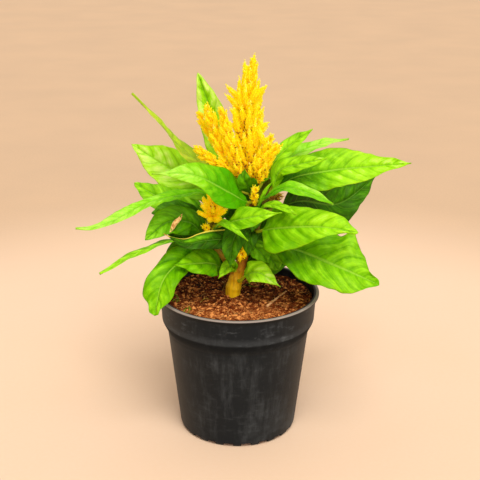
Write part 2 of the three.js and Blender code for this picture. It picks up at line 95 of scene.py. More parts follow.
# Builds nodes in one tree: settings are set first, then inputs by name or place. A colour is a hex code.
class Graph:
    def __init__(self, tree):
        self.tree = tree

    def node(self, kind, settings=None, inputs=None, output=0):
        made = self.tree.nodes.new(kind)
        settings = dict(settings or {})
        for number, (place, code) in enumerate(settings.pop("stops", [])):
            stops = made.color_ramp.elements
            stop = stops[number] if number < 2 else stops.new(place)
            stop.position = place
            stop.color = tint(code)
        for key, value in settings.items():
            setattr(made, key, value)
        pairs = inputs.items() if isinstance(inputs, dict) else enumerate(inputs or ())
        for key, value in pairs:
            if isinstance(value, Wire):
                self.tree.links.new(value.socket, made.inputs[key])
            else:
                isCode = isinstance(value, str) and value.startswith("#")
                made.inputs[key].default_value = tint(value) if isCode else value
        return Wire(self, made.outputs[output]) if made.outputs else made

    def attribute(self, name):
        return self.node("ShaderNodeAttribute", {"attribute_name": name}, output="Fac")

    def mix(self, factor, first, second):
        return self.node("ShaderNodeMix", {"data_type": "RGBA"}, {0: factor, 6: first, 7: second}, output=2)

    def ramp(self, shade, stops):
        return self.node("ShaderNodeValToRGB", {"stops": stops}, [shade])

    # A smooth step from 0 to 1 between two values.
    def step(self, value, low, high):
        inputs = {"Value": value, "From Min": low, "From Max": high}
        return self.node("ShaderNodeMapRange", {"interpolation_type": "SMOOTHSTEP"}, inputs)

    def noise(self, place, scale, detail=3.0, roughness=0.5):
        inputs = {"Vector": place, "Scale": scale, "Detail": detail, "Roughness": roughness}
        return self.node("ShaderNodeTexNoise", None, inputs)

    def bump(self, height, strength, distance):
        inputs = {"Height": height, "Strength": strength, "Distance": distance}
        return self.node("ShaderNodeBump", None, inputs)

    def scaled(self, place, scale):
        return self.node("ShaderNodeMapping", None, {"Vector": place, "Scale": scale})

    def coordinate(self, place, axis):
        return self.node("ShaderNodeSeparateXYZ", None, [place], output=axis)

    def combined(self, x, y, z):
        return self.node("ShaderNodeCombineXYZ", None, [x, y, z])

    def vector(self, operation, values, output=0):
        return self.node("ShaderNodeVectorMath", {"operation": operation}, values, output)


def tint(code):
    parts = [int(code[i:i + 2], 16) / 255 for i in (1, 3, 5)]
    return tuple(c / 12.92 if c <= 0.04045 else ((c + 0.055) / 1.055) ** 2.4 for c in parts) + (1.0,)


# A new material's graph, and the place on the object that its nodes read.
def newFinish(name):
    material = bpy.data.materials.new(name)
    material.use_nodes = True
    material.node_tree.nodes.clear()
    graph = Graph(material.node_tree)
    graph.material = material
    return graph, graph.node("ShaderNodeTexCoord", output="Object")


def endFinish(graph, sockets):
    shader = graph.node("ShaderNodeBsdfPrincipled", None, sockets)
    graph.node("ShaderNodeOutputMaterial", None, {"Surface": shader})
    return graph.material


def addObject(name, data):
    made = bpy.data.objects.new(name, data)
    bpy.context.scene.collection.objects.link(made)
    return made


# A smooth mesh from points in millimetres, with numbers or vectors kept for each point.
def newMesh(name, points, faces, values=None):
    mesh = bpy.data.meshes.new(name)
    mesh.from_pydata((np.asarray(points) * mm).tolist(), [], faces)
    for key, numbers in (values or {}).items():
        numbers = np.asarray(numbers, "f4")
        kind, field = ("FLOAT", "value") if numbers.ndim == 1 else ("FLOAT_VECTOR", "vector")
        mesh.attributes.new(key, kind, "POINT").data.foreach_set(field, numbers.ravel())
    mesh.polygons.foreach_set("use_smooth", np.ones(len(mesh.polygons), bool))
    return mesh


# The shape of an object after its modifiers. The object itself goes.
def plainMesh(holder):
    bpy.context.view_layer.update()
    made = bpy.data.meshes.new_from_object(holder.evaluated_get(bpy.context.evaluated_depsgraph_get()))
    holder.modifiers.clear()
    bpy.data.objects.remove(holder)
    return made


# Makes one piece of a mesh. It rides on the root body and stands for CAD nodes, if any.
def addPiece(name, mesh, nodes):
    mesh.name = name
    piece = addObject(name, mesh)
    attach(piece, "root")
    if nodes:
        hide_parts(*nodes)


def newPiece(name, points, faces, material, nodes, values=None):
    mesh = newMesh(name, points, faces, values)
    mesh.materials.append(material)
    mesh.validate()
    addPiece(name, mesh, nodes)


# Quads between rings of points, with one flat face on the first and the last ring.
def ringFaces(ringCount, sides, firstIndex=0):
    faces = []
    for ring in range(ringCount - 1):
        for side in range(sides):
            a = firstIndex + ring * sides + side
            b = firstIndex + ring * sides + (side + 1) % sides
            faces.append((a, b, b + sides, a + sides))
    last = firstIndex + (ringCount - 1) * sides
    faces.append(tuple(firstIndex + side for side in range(sides))[::-1])
    faces.append(tuple(last + side for side in range(sides)))
    return faces


# The centripetal spline that the solids follow, with even steps along its length.
class Path:
    def __init__(self, points):
        points = [np.array(p, float) for p in points]
        self.count = len(points)
        self.knots = [2 * points[0] - points[1], *points, 2 * points[-1] - points[-2]]
        self.steps = np.linspace(0, 1, 201)
        spots = np.array([self.spot(t) for t in self.steps])
        self.run = np.concatenate([[0], np.cumsum(np.linalg.norm(np.diff(spots, axis=0), axis=1))])
        self.length = self.run[-1]

    def spot(self, t):
        place = min(max(t, 0.0), 1.0) * (self.count - 1)
        k = min(int(place), self.count - 2)
        w = place - k
        p0, p1, p2, p3 = self.knots[k:k + 4]
        d0, d1, d2 = (np.linalg.norm(b - a) ** 0.5 for a, b in ((p0, p1), (p1, p2), (p2, p3)))
        t1 = ((p1 - p0) / d0 - (p2 - p0) / (d0 + d1) + (p2 - p1) / d1) * d1
        t2 = ((p2 - p1) / d1 - (p3 - p1) / (d1 + d2) + (p3 - p2) / d2) * d1
        return p1 + t1 * w + (3 * (p2 - p1) - 2 * t1 - t2) * w ** 2 + (2 * (p1 - p2) + t1 + t2) * w ** 3

    def share(self, s):
        return float(np.interp(s * self.length, self.run, self.steps))

    def point(self, s):
        return self.spot(self.share(s))

    def tangent(self, s):
        t = self.share(s)
        return unit(self.spot(t + 1e-4) - self.spot(t - 1e-4))


def unit(vector):
    vector = np.asarray(vector, float)
    return vector / max(np.linalg.norm(vector), 1e-12)


def between(a, b, share):
    return a + (b - a) * share


def listValue(values, share):
    return float(np.interp(share, np.linspace(0, 1, len(values)), values))


# The two axes across a path: the one nearest to the way it faces, and the one to its side.
def sectionAxes(tangent, face):
    up = unit(np.asarray(face, float) - tangent * np.dot(face, tangent))
    return up, np.cross(up, tangent)


# Rings round a path. The shape gives each point's reach to the side and up, from its share and turn.
def tube(path, stations, sides, face, shape):
    points = []
    for i in range(stations + 1):
        s = i / stations
        up, side = sectionAxes(path.tangent(s), face)
        centre = path.point(s)
        for k in range(sides):
            sideways, upward = shape(s, fullTurn * k / sides, centre)
            points.append(centre + side * sideways + up * upward)
    return points, ringFaces(stations + 1, sides)


def camel(name):
    first, *rest = name.split("_")
    return first + "".join(word.capitalize() for word in rest)


def lumpAt(x, y, z, scale, seed=0):
    return noise.noise(Vector((x * scale + seed * 7.3, y * scale - seed * 3.1, z * scale + seed)))


# Camera and light

cameraLook = {
    "place": (1.2, -724.0, 407.6),
    "pitch": 19.3,  # degrees below the horizon
    "roll": 0.3,
    "lens": 75.0,
    "sensor": 36.0,
}
camera = addObject("camera", bpy.data.cameras.new("camera"))
camera.data.lens = cameraLook["lens"]
camera.data.sensor_width = cameraLook["sensor"]
camera.data.clip_start = 0.01
camera.matrix_world = (
    Matrix.Translation(Vector(cameraLook["place"]) * mm)
    @ Matrix.Rotation(math.radians(90 - cameraLook["pitch"]), 4, "X")
    @ Matrix.Rotation(math.radians(cameraLook["roll"]), 4, "Z")
)
bpy.context.scene.camera = camera

lightLook = {
    "room": {"Color": "#ffe6cc", "Strength": 0.42},
    "lamps": [
        # name, the way it shines from, strength, softness in degrees, colour
        ("keyLight", (0.14, -0.75, 1.2), 2.35, 36.0, "#fffbf4"),
        ("frontLight", (0.35, -1.0, 0.35), 0.95, 50.0, "#fffaf4"),
        ("topLight", (0.1, 0.4, 1.0), 0.4, 80.0, "#fffdf8"),
    ],
}
for name, source, strength, softness, colour in lightLook["lamps"]:
    lamp = bpy.data.lights.new(name, "SUN")
    lamp.energy = strength
    lamp.angle = math.radians(softness)
    lamp.color = tint(colour)[:3]
    light = addObject(name, lamp)
    light.location = source
    light.rotation_euler = Vector(source).to_track_quat("Z", "Y").to_euler()

world = bpy.data.worlds.new("room")
world.use_nodes = True
world.node_tree.nodes.clear()
worldGraph = Graph(world.node_tree)
roomGlow = worldGraph.node("ShaderNodeBackground", None, lightLook["room"])
worldGraph.node("ShaderNodeOutputWorld", None, {"Surface": roomGlow})
bpy.context.scene.world = world
bpy.context.scene.view_settings.view_transform = "Standard"
print("camera and light set")


# Floor

floorLook = {
    "radius": 30.0,  # metres
    "near": "#f2d8c2",
    "far": "#c5ab91",
    "grain": "#eecba6",
    "fade": (0.36, 0.66),  # metres from the middle, where near turns to far
}


def floorFinish():
    look = floorLook
    graph, place = newFinish("paleFloor")
    cloud = graph.noise(place, 6.0, detail=4.0)
    grain = graph.noise(place, 320.0, detail=2.0)
    away = graph.vector("LENGTH", [place], "Value")
    clean = graph.mix(graph.step(away, *look["fade"]), look["near"], look["far"])
    return endFinish(graph, {
        "Base Color": graph.mix(cloud * 0.4 + grain * 0.3, clean, look["grain"]),
        "Roughness": 0.7,
        "Normal": graph.bump(grain, 0.08, 0.0005),
    })


floorShape = bmesh.new()
bmesh.ops.create_circle(floorShape, cap_ends=True, radius=floorLook["radius"], segments=96)
floorMesh = bpy.data.meshes.new("floor")
floorShape.to_mesh(floorMesh)
floorShape.free()
floorMesh.materials.append(floorFinish())
floor = addObject("floor", floorMesh)


# Nursery pot

potLook = {
    "radii": (44.3, 46.3, 55.3, 59.5, 60.7, 63.1),  # foot, body, body top, collar foot, collar top, lip
    "height": 113.2,
    "lipHeight": 1.7,
    "collarHeight": 22.0,
    "bevelHeight": 8.5,
    "cornerHeight": 5.0,
    "wall": 1.4,
    "slots": 20,
    "slotSize": (8.0, 8.0, 5.6),
    "drains": 5,
    "drainRadius": 4.0,
    "drainCircle": 27.0,
    "segments": 240,
    "sharpAngle": 38,
    "plastic": "#060e17",
    "warmPlastic": "#0d1010",
    "dust": "#5c6268",
    # Colours of the painted shadow under the collar and the lip, and of the painted highlight on the lip.
    "crease": "#020202",
    "worn": "#b8aca4",
}


# A (radius, height, rounding) outline with its corners turned into short arcs.
def roundedOutline(corners, arcSteps=4):
    outline = []
    for i, (r, z, turn) in enumerate(corners):
        here = np.array([r, z], float)
        if turn == 0:
            outline.append(here)
            continue
        before = np.array(corners[i - 1][:2], float) - here
        after = np.array(corners[i + 1][:2], float) - here
        start = here + unit(before) * min(turn, np.linalg.norm(before) * 0.45)
        end = here + unit(after) * min(turn, np.linalg.norm(after) * 0.45)
        for t in np.linspace(0, 1, arcSteps + 1):
            outline.append((1 - t) ** 2 * start + 2 * t * (1 - t) * here + t ** 2 * end)
    return outline


# A closed turned body, with one point where the outline meets the axis at its start and end.
def turnedShape(outline, segments):
    points = [(0.0, 0.0, outline[0][1])]
    for r, z in outline[1:-1]:
        angles = np.linspace(0, fullTurn, segments, endpoint=False)
        points.extend((r * math.cos(a), r * math.sin(a), z) for a in angles)
    points.append((0.0, 0.0, outline[-1][1]))
    rings = len(outline) - 2
    faces = []
    for side in range(segments):
        after = (side + 1) % segments
        faces.append((0, 1 + after, 1 + side))
        for ring in range(rings - 1):
            a = 1 + ring * segments
            faces.append((a + side, a + after, a + segments + after, a + segments + side))
        last = 1 + (rings - 1) * segments
        faces.append((last + side, last + after, len(points) - 1))
    return points, faces


# Black plastic with streaks of dust and scuffs on the collar, a painted highlight on the lip, and painted
# shadows under the lip and the collar.
def potFinish():
    look = potLook
    graph, place = newFinish("blackNurseryPlastic")
    height = graph.coordinate(place, "Z")
    top = look["height"]
    collarFoot, lipFoot = top - look["collarHeight"], top - look["lipHeight"]

    # A smooth step between two heights, in mm over one of the pot's edges.
    def rise(edge, low, high):
        return graph.step(height, (edge + low) * mm, (edge + high) * mm)

    radius = graph.vector("LENGTH", [graph.vector("MULTIPLY", [place, (1.0, 1.0, 0.0)])], "Value")
    wide = graph.noise(place, 28.0, detail=5.0, roughness=0.6)
    speck = graph.noise(place, 900.0, detail=2.0)
    streak = graph.noise(graph.scaled(place, (1.0, 1.0, 0.16)), 170.0, detail=5.0, roughness=0.7)
    scuff = graph.noise(graph.scaled(place, (0.35, 0.35, 1.0)), 240.0, detail=4.0, roughness=0.75)
    onCollar = rise(collarFoot, -2.2, 1.8)
    dusty = graph.step(streak * 0.6 + wide * 0.5, 0.5, 0.78) * 0.3
    scuffed = graph.step(scuff * 0.7 + wide * 0.3, 0.5, 0.7) * (0.14 + onCollar * 0.42)
    lowDirt = rise(0, 30, 0) * graph.step(wide, 0.45, 0.7) * 0.2
    collarEdge = rise(collarFoot, -0.7, 1.8) * (1.0 - rise(collarFoot, 2.8, 7.3)) * 0.22
    amount = dusty + scuffed + lowDirt + collarEdge * (0.4 + scuff * 0.9)
    plastic = graph.mix(wide, look["plastic"], look["warmPlastic"])
    dustyPlastic = graph.mix(amount, plastic, look["dust"])
    # Painted shadow: a black band under the collar's foot, and another under the lip.
    crease = rise(collarFoot, -12.2, -1.7) * (1.0 - rise(collarFoot, -0.7, 1.3))
    underLip = rise(lipFoot, -3.5, -1) * (1.0 - rise(top, -0.8, -0.3))
    withPaintedShadow = graph.mix(crease * 0.6 + underLip * 0.9, dustyPlastic, look["crease"])
    # Painted highlight: a pale line along the rounded top of the lip.
    onLip = rise(top, -1, -0.3) * graph.step(radius, 0.0604, 0.0613)
    return endFinish(graph, {
        "Base Color": graph.mix(onLip * (0.5 + wide * 0.4), withPaintedShadow, look["worn"]),
        "Roughness": 0.45 + amount * 0.4 + speck * 0.1 + crease * 0.4,
        "Specular IOR Level": 0.26,
        "Specular Tint": (0.72, 0.86, 1.0, 1.0),
        "Normal": graph.bump(streak * 0.5 + speck * 0.35 + scuff * 0.4, 0.2, 0.0006),
    })


# The slots round the foot and the drain holes in the floor.
def addCutters(cutters, look):
    slotSize = Matrix.Diagonal((*(x * mm for x in look["slotSize"]), 1.0))
    slotPlace = Matrix.Translation((look["radii"][0] * mm, 0, 0))
    for i in range(look["slots"]):
        turn = Matrix.Rotation((i + 0.5) / look["slots"] * fullTurn, 4, "Z")
        bmesh.ops.create_cube(cutters, size=1.0, matrix=turn @ slotPlace @ slotSize)
    radius = look["drainRadius"] * mm
    drainPlace = Matrix.Translation((look["drainCircle"] * mm, 0, 0))
    for i in range(look["drains"]):
        turn = Matrix.Rotation(i / look["drains"] * fullTurn, 4, "Z")
        bmesh.ops.create_cone(cutters, cap_ends=True, segments=32, radius1=radius, radius2=radius,
                              depth=6 * mm, matrix=turn @ drainPlace)


def buildPot():
    look = potLook
    foot, body, bodyTop, collarBase, collar, lip = look["radii"]
    top, corner, wall = look["height"], look["cornerHeight"], look["wall"]
    collarFoot = top - look["collarHeight"]
    bevelFoot = collarFoot - look["bevelHeight"]
    underLip = top - look["lipHeight"]
    outline = roundedOutline([
        (0, 0, 0), (foot, 0, 0.5), (foot + 1.5, corner * 0.4, 1.0), (body, corner, 2.0),
        (bodyTop, bevelFoot, 0.8), (collarBase, collarFoot, 1.2), (collar, underLip, 0.25),
        (lip, underLip, 0.55), (lip, top, 0.8), (collar - wall, top, 0.7),
        (collarBase - wall, collarFoot + 1, 1.2), (bodyTop - wall, bevelFoot + 1, 0.8),
        (body - wall, corner + wall, 2.0), (foot - wall + 0.6, wall, 0.6), (0, wall, 0),
    ])
    blank = addObject("potBlank", newMesh("potBlank", *turnedShape(outline, look["segments"])))
    cutters = bmesh.new()
    addCutters(cutters, look)
    cutterMesh = bpy.data.meshes.new("potCutter")
    cutters.to_mesh(cutterMesh)
    cutters.free()
    cutter = addObject("potCutter", cutterMesh)
    boolean = blank.modifiers.new("cut", "BOOLEAN")
    boolean.object = cutter
    boolean.operation = "DIFFERENCE"
    boolean.solver = "EXACT"
    mesh = plainMesh(blank)
    bpy.data.objects.remove(cutter)
    mesh.materials.clear()
    mesh.materials.append(potFinish())
    mesh.polygons.foreach_set("use_smooth", np.ones(len(mesh.polygons), bool))
    mesh.set_sharp_from_angle(angle=math.radians(look["sharpAngle"]))
    addPiece("nurseryPot", mesh, ["nursery_pot"])


buildPot()
print("pot built")


# Soil: a bumpy body of cocopeat, with grains and fibres scattered over it

soilLook = {
    "rimHeight": 104.6,
    "crownHeight": 106.4,
    "banked": 3.0,  # higher at the back and on both sides
    "radius": 58.15,
    "inside": [(56.0, 97.0), (54.0, 92.0), (44.0, 7.0), (42.8, 2.0)],  # radius, height, down to the base
    "rings": 44,
    "segments": 150,
    "lumps": [(0.11, 0, 0.9), (0.27, 2, 0.8), (0.7, 5, 0.55)],  # fineness, seed, height
    "grains": 1250000.0,  # for each square metre
    "grainSize": 0.8,
    "fibres": 52000.0,
    "fibreLength": 4.6,
    "fibreRadius": 0.13,
    "seeds": (11, 23),  # of the chips and the fibres
    # The darkest soil colour: dark patches, and the painted shade at the back.
    "wet": "#200c03",
    # dark and light colour, and how far they differ from grain to grain
    "moistCocopeat": ("#6a2a08", "#b05c20", 0.3),
    "cocopeatChips": ("#7a3208", "#f0a058", 0.75),
    "cocopeatFibres": ("#7e3c0e", "#f0b870", 0.8),
    "mossBits": ("#5c6a08", "#c0c840", 0.8),
    "strawBits": ("#a88428", "#f0dc90", 0.8),
}


def soilFinish(name):
    dark, light, grain = soilLook[name]
    graph, place = newFinish(name)
    tone = graph.attribute("tone")
    patch = graph.noise(place, 170.0, detail=5.0, roughness=0.6)
    fine = graph.noise(place, 1400.0, detail=3.0, roughness=0.6)
    paintedBackShade = graph.step(graph.coordinate(place, "Y"), -0.045, 0.015) * 0.26  # painted shade: the half towards the back, which the plant shades, is darker
    shade = graph.step(patch * 0.9 + fine * 0.2 + tone ** 3.0 * grain - paintedBackShade, 0.15, 1.05)
    return endFinish(graph, {
        "Base Color": graph.ramp(shade, [(0.0, soilLook["wet"]), (0.25, dark), (1.0, light)]),
        "Roughness": 0.75 + fine * 0.22,
        "Specular IOR Level": 0.12,
        "Normal": graph.bump(fine, 0.5, 0.0004),
    })


# A Geometry Nodes tree with named inputs, ending in Realize Instances and Set Material.
def newTree(name, inputs):
    tree = bpy.data.node_groups.new(name, "GeometryNodeTree")
    tree.interface.new_socket("Geometry", in_out="OUTPUT", socket_type="NodeSocketGeometry")
    inputs = {"Geometry": "Geometry", **inputs}
    for label, kind in inputs.items():
        tree.interface.new_socket(label, in_out="INPUT", socket_type="NodeSocket" + kind)
    graph = Graph(tree)
    source = tree.nodes.new("NodeGroupInput")
    return tree, graph, {label: Wire(graph, source.outputs[label]) for label in inputs}


def realAndPainted(graph, geometry, material):
    real = graph.node("GeometryNodeRealizeInstances", None, {"Geometry": geometry})
    return graph.node("GeometryNodeSetMaterial", None, {"Geometry": real, "Material": material})


# Runs a tree on a mesh and returns the result as a plain mesh.
def runTree(tree, mesh, values):
    holder = addObject("holder", mesh)
    modifier = holder.modifiers.new("tree", "NODES")
    modifier.node_group = tree
    for item in tree.interface.items_tree:
        if item.in_out == "INPUT" and item.name in values:
            modifier[item.identifier] = values[item.name]
    return plainMesh(holder)


def randomValue(graph, low, high, seed):
    kind, names = ("FLOAT", (2, 3, 1)) if isinstance(low, float) else ("FLOAT_VECTOR", (0, 1, 0))
    inputs = {names[0]: low, names[1]: high, "Seed": seed}
    return graph.node("FunctionNodeRandomValue", {"data_type": kind}, inputs, output=names[2])


# Puts the instance on every point and gives each its own tone.
def spreadOut(graph, points, instance, turn, scale, toneSeed):
    inputs = {"Points": points, "Instance": instance, "Rotation": turn, "Scale": scale}
    strewn = graph.node("GeometryNodeInstanceOnPoints", None, inputs)
    return graph.node("GeometryNodeStoreNamedAttribute", {"data_type": "FLOAT", "domain": "INSTANCE"}, {
        "Geometry": strewn, "Name": "tone", "Value": randomValue(graph, 0.0, 1.0, toneSeed),
    })


# Ends a tree that strews bits over a surface.
def endStrewing(graph, wires, bit, turn, scale, toneSeed):
    inputs = {"Mesh": wires["Geometry"], "Density": wires["Density"], "Seed": wires["Seed"]}
    points = graph.node("GeometryNodeDistributePointsOnFaces", None, inputs)
    strewn = spreadOut(graph, points, bit, turn, scale, toneSeed)
    graph.node("NodeGroupOutput", None, {"Geometry": realAndPainted(graph, strewn, wires["Material"])})


# Chips: small rough lumps strewn over the soil.
def chipTree():
    tree, graph, wires = newTree("strewnChips", {
        "Density": "Float", "Size": "Float", "Seed": "Int", "Material": "Material",
    })
    lump = graph.node("GeometryNodeMeshUVSphere", None, {"Radius": wires["Size"], "Segments": 4, "Rings": 2})
    size = 0.4 + randomValue(graph, 0.0, 1.0, 3) ** 6.0 * 2.3  # most are small, a few are large
    stretch = randomValue(graph, (0.5, 0.5, 0.3), (1.6, 1.2, 0.65), 4)
    shape = graph.vector("SCALE", {0: stretch, "Scale": size})
    turn = randomValue(graph, (-0.6, -0.6, 0.0), (0.6, 0.6, 6.283), 5)
    endStrewing(graph, wires, lump, turn, shape, 6)
    return tree


# Fibres: thin bent threads that lie on the soil.
def fibreTree():
    tree, graph, wires = newTree("strewnFibres", {
        "Density": "Float", "Length": "Float", "Radius": "Float", "Seed": "Int", "Material": "Material",
    })
    length = wires["Length"]
    bend = graph.node("GeometryNodeCurveQuadraticBezier", None, {
        "Resolution": 5, "Start": (0.0, 0.0, 0.0),
        "Middle": graph.combined(length * 0.5, length * 0.22, length * 0.2),
        "End": graph.combined(length, 0.0, length * 0.12),
    })
    section = graph.node("GeometryNodeCurvePrimitiveCircle", None, {
        "Resolution": 3, "Radius": wires["Radius"],
    })
    inputs = {"Curve": bend, "Profile Curve": section, "Fill Caps": True}
    thread = graph.node("GeometryNodeCurveToMesh", None, inputs)
    turn = randomValue(graph, (-0.25, -0.3, 0.0), (0.25, 0.12, 6.283), 8)
    endStrewing(graph, wires, thread, turn, randomValue(graph, 0.3, 1.5, 9), 10)
    return tree


# Bits that lie on the soil: paths of (x, y) points.
litterLook = {
    "radius": 0.5,
    "arch": (0.3, 1.1, 0.3),  # height of the three points over the soil
    "moss": [
        [(-53.8, -4.7), (-50.3, 1.4), (-46.2, -2.6)],
        [(-51.7, -12.6), (-48.3, -6.6), (-44.2, -10.6)],
        [(-49.8, 5.5), (-46.8, -4.6), (-48.5, -14.6)],
        [(-41.6, -28.0), (-38.9, -22.2), (-35.0, -24.1)],
        [(-38.4, -16.4), (-36.5, -24.1), (-38.4, -31.7)],
        [(1.4, 14.6), (7.0, 23.2), (13.4, 19.0)],
        [(6.2, 27.5), (10.2, 18.9), (16.7, 21.1)],
    ],
    "straw": [
        [(-13.2, 31.5), (-10.7, 22.9), (-12.9, 12.3)],
        [(-29.5, -10.4), (-25.0, -4.3), (-21.1, -6.3)],
    ],
}


def litterShape(s, turn, centre):
    thick = litterLook["radius"] * (1 - (2 * s - 1) ** 4 * 0.8) * (1 + 0.3 * lumpAt(*centre, 0.9))
    return math.cos(turn) * thick, math.sin(turn) * 0.7 * thick


def buildLitter():
    look = litterLook
    for kind in ("moss", "straw"):
        finish = soilFinish(kind + "Bits")
        for number, spots in enumerate(look[kind]):
            path = Path([(x, y, soilHeight(x, y) + rise) for (x, y), rise in zip(spots, look["arch"])])
            points, faces = tube(path, 14, 7, (0, 0, 1), litterShape)
            tone = [0.5 + 0.5 * lumpAt(*p, 1.1, 3) for p in points]
            newPiece(f"{kind}Bit{number + 1}", points, faces, finish, [], {"tone": tone})


def soilHeight(x, y):
    look = soilLook
    r = min(math.hypot(x, y) / look["radius"], 1.0)
    mound = look["rimHeight"] + (look["crownHeight"] - look["rimHeight"]) * (1 - r ** 2.2)
    banked = look["banked"] * max(0.0, 0.7 * y - 0.7 * x, 0.35 * y + 0.93 * x) / look["radius"] * r
    return mound + banked + sum(lumpAt(x, y, 0, scale, seed) * high for scale, seed, high in look["lumps"])


def buildSoil():
    look = soilLook
    count = look["segments"]
    points = [(0.0, 0.0, soilHeight(0, 0))]
    for ring in range(1, look["rings"] + 1):
        r = look["radius"] * ring / look["rings"]
        for k in range(count):
            a = fullTurn * (k + 0.5 * (ring % 2)) / count
            x, y = r * math.cos(a), r * math.sin(a)
            points.append((x, y, soilHeight(x, y)))
    for r, z in look["inside"]:
        for k in range(count):
            a = fullTurn * k / count
            points.append((r * math.cos(a), r * math.sin(a), z))
    faces = [(0, 1 + k, 1 + (k + 1) % count) for k in range(count)]
    rings = (len(points) - 1) // count
    for ring in range(rings - 1):
        for k in range(count):
            a = 1 + ring * count + k
            b = 1 + ring * count + (k + 1) % count
            faces.append((a, a + count, b + count, b))
    faces.append(tuple(1 + (rings - 1) * count + k for k in range(count))[::-1])
    tone = [0.35 + 0.5 * lumpAt(*p, 0.6, 3) for p in points]
    newPiece("soilBody", points, faces, soilFinish("moistCocopeat"), ["potting_soil"], {"tone": tone})

    # The strewn bits stand on the top face only, a little inside the rim.
    inner = 1 + count * (look["rings"] - 1)
    topFaces = [f for f in faces[:count * look["rings"]] if max(f) < inner]
    top = newMesh("soilTop", points[:inner], topFaces)
    chipSeed, fibreSeed = look["seeds"]
    chips = runTree(chipTree(), top.copy(), {
        "Density": look["grains"], "Size": look["grainSize"] * mm, "Seed": chipSeed,
        "Material": soilFinish("cocopeatChips"),
    })
    addPiece("soilChips", chips, [])
    fibres = runTree(fibreTree(), top, {
        "Density": look["fibres"], "Length": look["fibreLength"] * mm, "Radius": look["fibreRadius"] * mm,
        "Seed": fibreSeed, "Material": soilFinish("cocopeatFibres"),
    })
    addPiece("soilFibres", fibres, [])
    buildLitter()


buildSoil()
print("soil built")


# Stems

stemLook = {
    "main_stem": {
        "route": [(-4, 6, 102), (-4, 6, 111), (-1, 6, 123), (3, 5, 137), (7, 4, 153), (10, 3, 169),
                  (11, 2, 183), (10, 1, 197)],
        "radii": [6, 5.7, 4.6, 3.5, 3, 2.7, 2.5, 2.4],
        "knots": [113, 121, 128, 139, 147, 154, 163, 171, 181, 189],  # heights
        "slot": "stem",
    },
    "branch_left": {
        "parent": "main_stem",
        "from": 126,
        "route": [(-11, 0, 139), (-17, -3, 149), (-20, -6, 159), (-20, -8, 171)],
        "radii": [2.3, 2.2, 2.1, 2, 1.8],
        "knots": [133, 144, 150, 157, 163, 169],
        "slot": "shoot",
    },
    "branch_right": {
        "parent": "main_stem",
        "from": 157,
        "route": [(16, 5, 168), (20, 6, 180), (22, 6, 193)],
        "radii": [1.8, 1.8, 1.7, 1.6],
        "knots": [176, 186, 191],
        "slot": "shoot",
    },
}
main, left, right = stemLook.values()
barkLook = {
    # colour at the foot and higher up, the heights in metres where it turns, colour of the streaks
    "goldenStem": ("#ffcc10", "#c87826", 0.114, 0.142, "#8a3c14"),
    "oliveShoot": ("#c0962c", "#a0a82c", 0.13, 0.19, "#6e6410"),
    "groove": "#8a7a10",
    "shaded": "#4e4210",  # among the leaves
    "ribs": 9,
}


def onStem(stem, height):
    low, high = 0.0, 1.0
    for _ in range(30):
        middle = (low + high) / 2
        if stem["path"].point(middle)[2] < height:
            low = middle
        else:
            high = middle
    return stem["path"].point(low), stem["path"].tangent(low), listValue(stem["radii"], low)


# The point just off the bark on the side that faces the target, and the way out from there.
def seat(stem, height, target):
    centre, tangent, radius = onStem(stem, height)
    out = np.array(target, float) - centre
    out = unit(out - tangent * np.dot(out, tangent))
    return centre + out * (radius + gap), out


def stemFinish(name):
    low, high, foot, top, streaks = barkLook[name]
    graph, place = newFinish(name)
    height = graph.coordinate(place, "Z")
    around = graph.attribute("around")
    streak = graph.noise(graph.scaled(place, (1.0, 1.0, 0.1)), 700.0, detail=4.0, roughness=0.6)
    blotch = graph.noise(place, 130.0, detail=4.0)
    fine = graph.noise(place, 2200.0, detail=2.0)
    rib = around.math("PINGPONG", around * float(barkLook["ribs"]), 0.5) * 2.0
    climb = graph.step(height + (blotch - 0.5) * 0.02, foot, top)
    bark = graph.mix(climb, low, high)
    streaked = graph.mix(graph.step(streak, 0.45, 0.7) * (0.35 + climb * 0.4), bark, streaks)
    ribbed = graph.mix((1.0 - rib) * 0.18, streaked, barkLook["groove"])
    return endFinish(graph, {
        "Base Color": graph.mix(graph.step(height, 0.136, 0.156) * 0.75, ribbed, barkLook["shaded"]),
        "Roughness": 0.4 + fine * 0.15,
        "Specular IOR Level": 0.25,
        "Subsurface Weight": 0.12,
        "Subsurface Radius": (1.0, 0.5, 0.2),
        "Subsurface Scale": 0.002,
        "Normal": graph.bump(streak * 0.6 + rib * 0.5 + fine * 0.2, 0.3, 0.0005),
    })


def buildStem(name, finish, stations=90, sides=40):
    stem = stemLook[name]
    points = stem["route"]
    if "parent" in stem:
        start, out = seat(stemLook[stem["parent"]], stem["from"], points[0])
        points = [start, start + out * 1.5, *points]
    stem["path"] = Path(points)

    def shape(s, turn, centre):
        knot = sum(math.exp(-((centre[2] - z) / 1.6) ** 2) for z in stem["knots"])
        lump = lumpAt(centre[0] + 3 * math.cos(turn), centre[1] + 3 * math.sin(turn), centre[2], 0.35)
        ribs = 0.035 * math.cos(barkLook["ribs"] * turn)
        r = listValue(stem["radii"], s) * (0.985 + ribs + 0.05 * lump + 0.1 * knot)
        return r * math.cos(turn), r * math.sin(turn)

    points, faces = tube(stem["path"], stations, sides, (0.2, 1, 0.1), shape)
    around = [k / sides for k in range(sides)] * (stations + 1)
    newPiece(camel(name), points, faces, finish, [name], {"around": around})


buildStem("main_stem", stemFinish("goldenStem"))
shootBark = stemFinish("oliveShoot")
buildStem("branch_left", shootBark)
buildStem("branch_right", shootBark)
print("stems built")


# Leaves: each follows the same midrib as its solid, with veins, soft waves and a thin edge

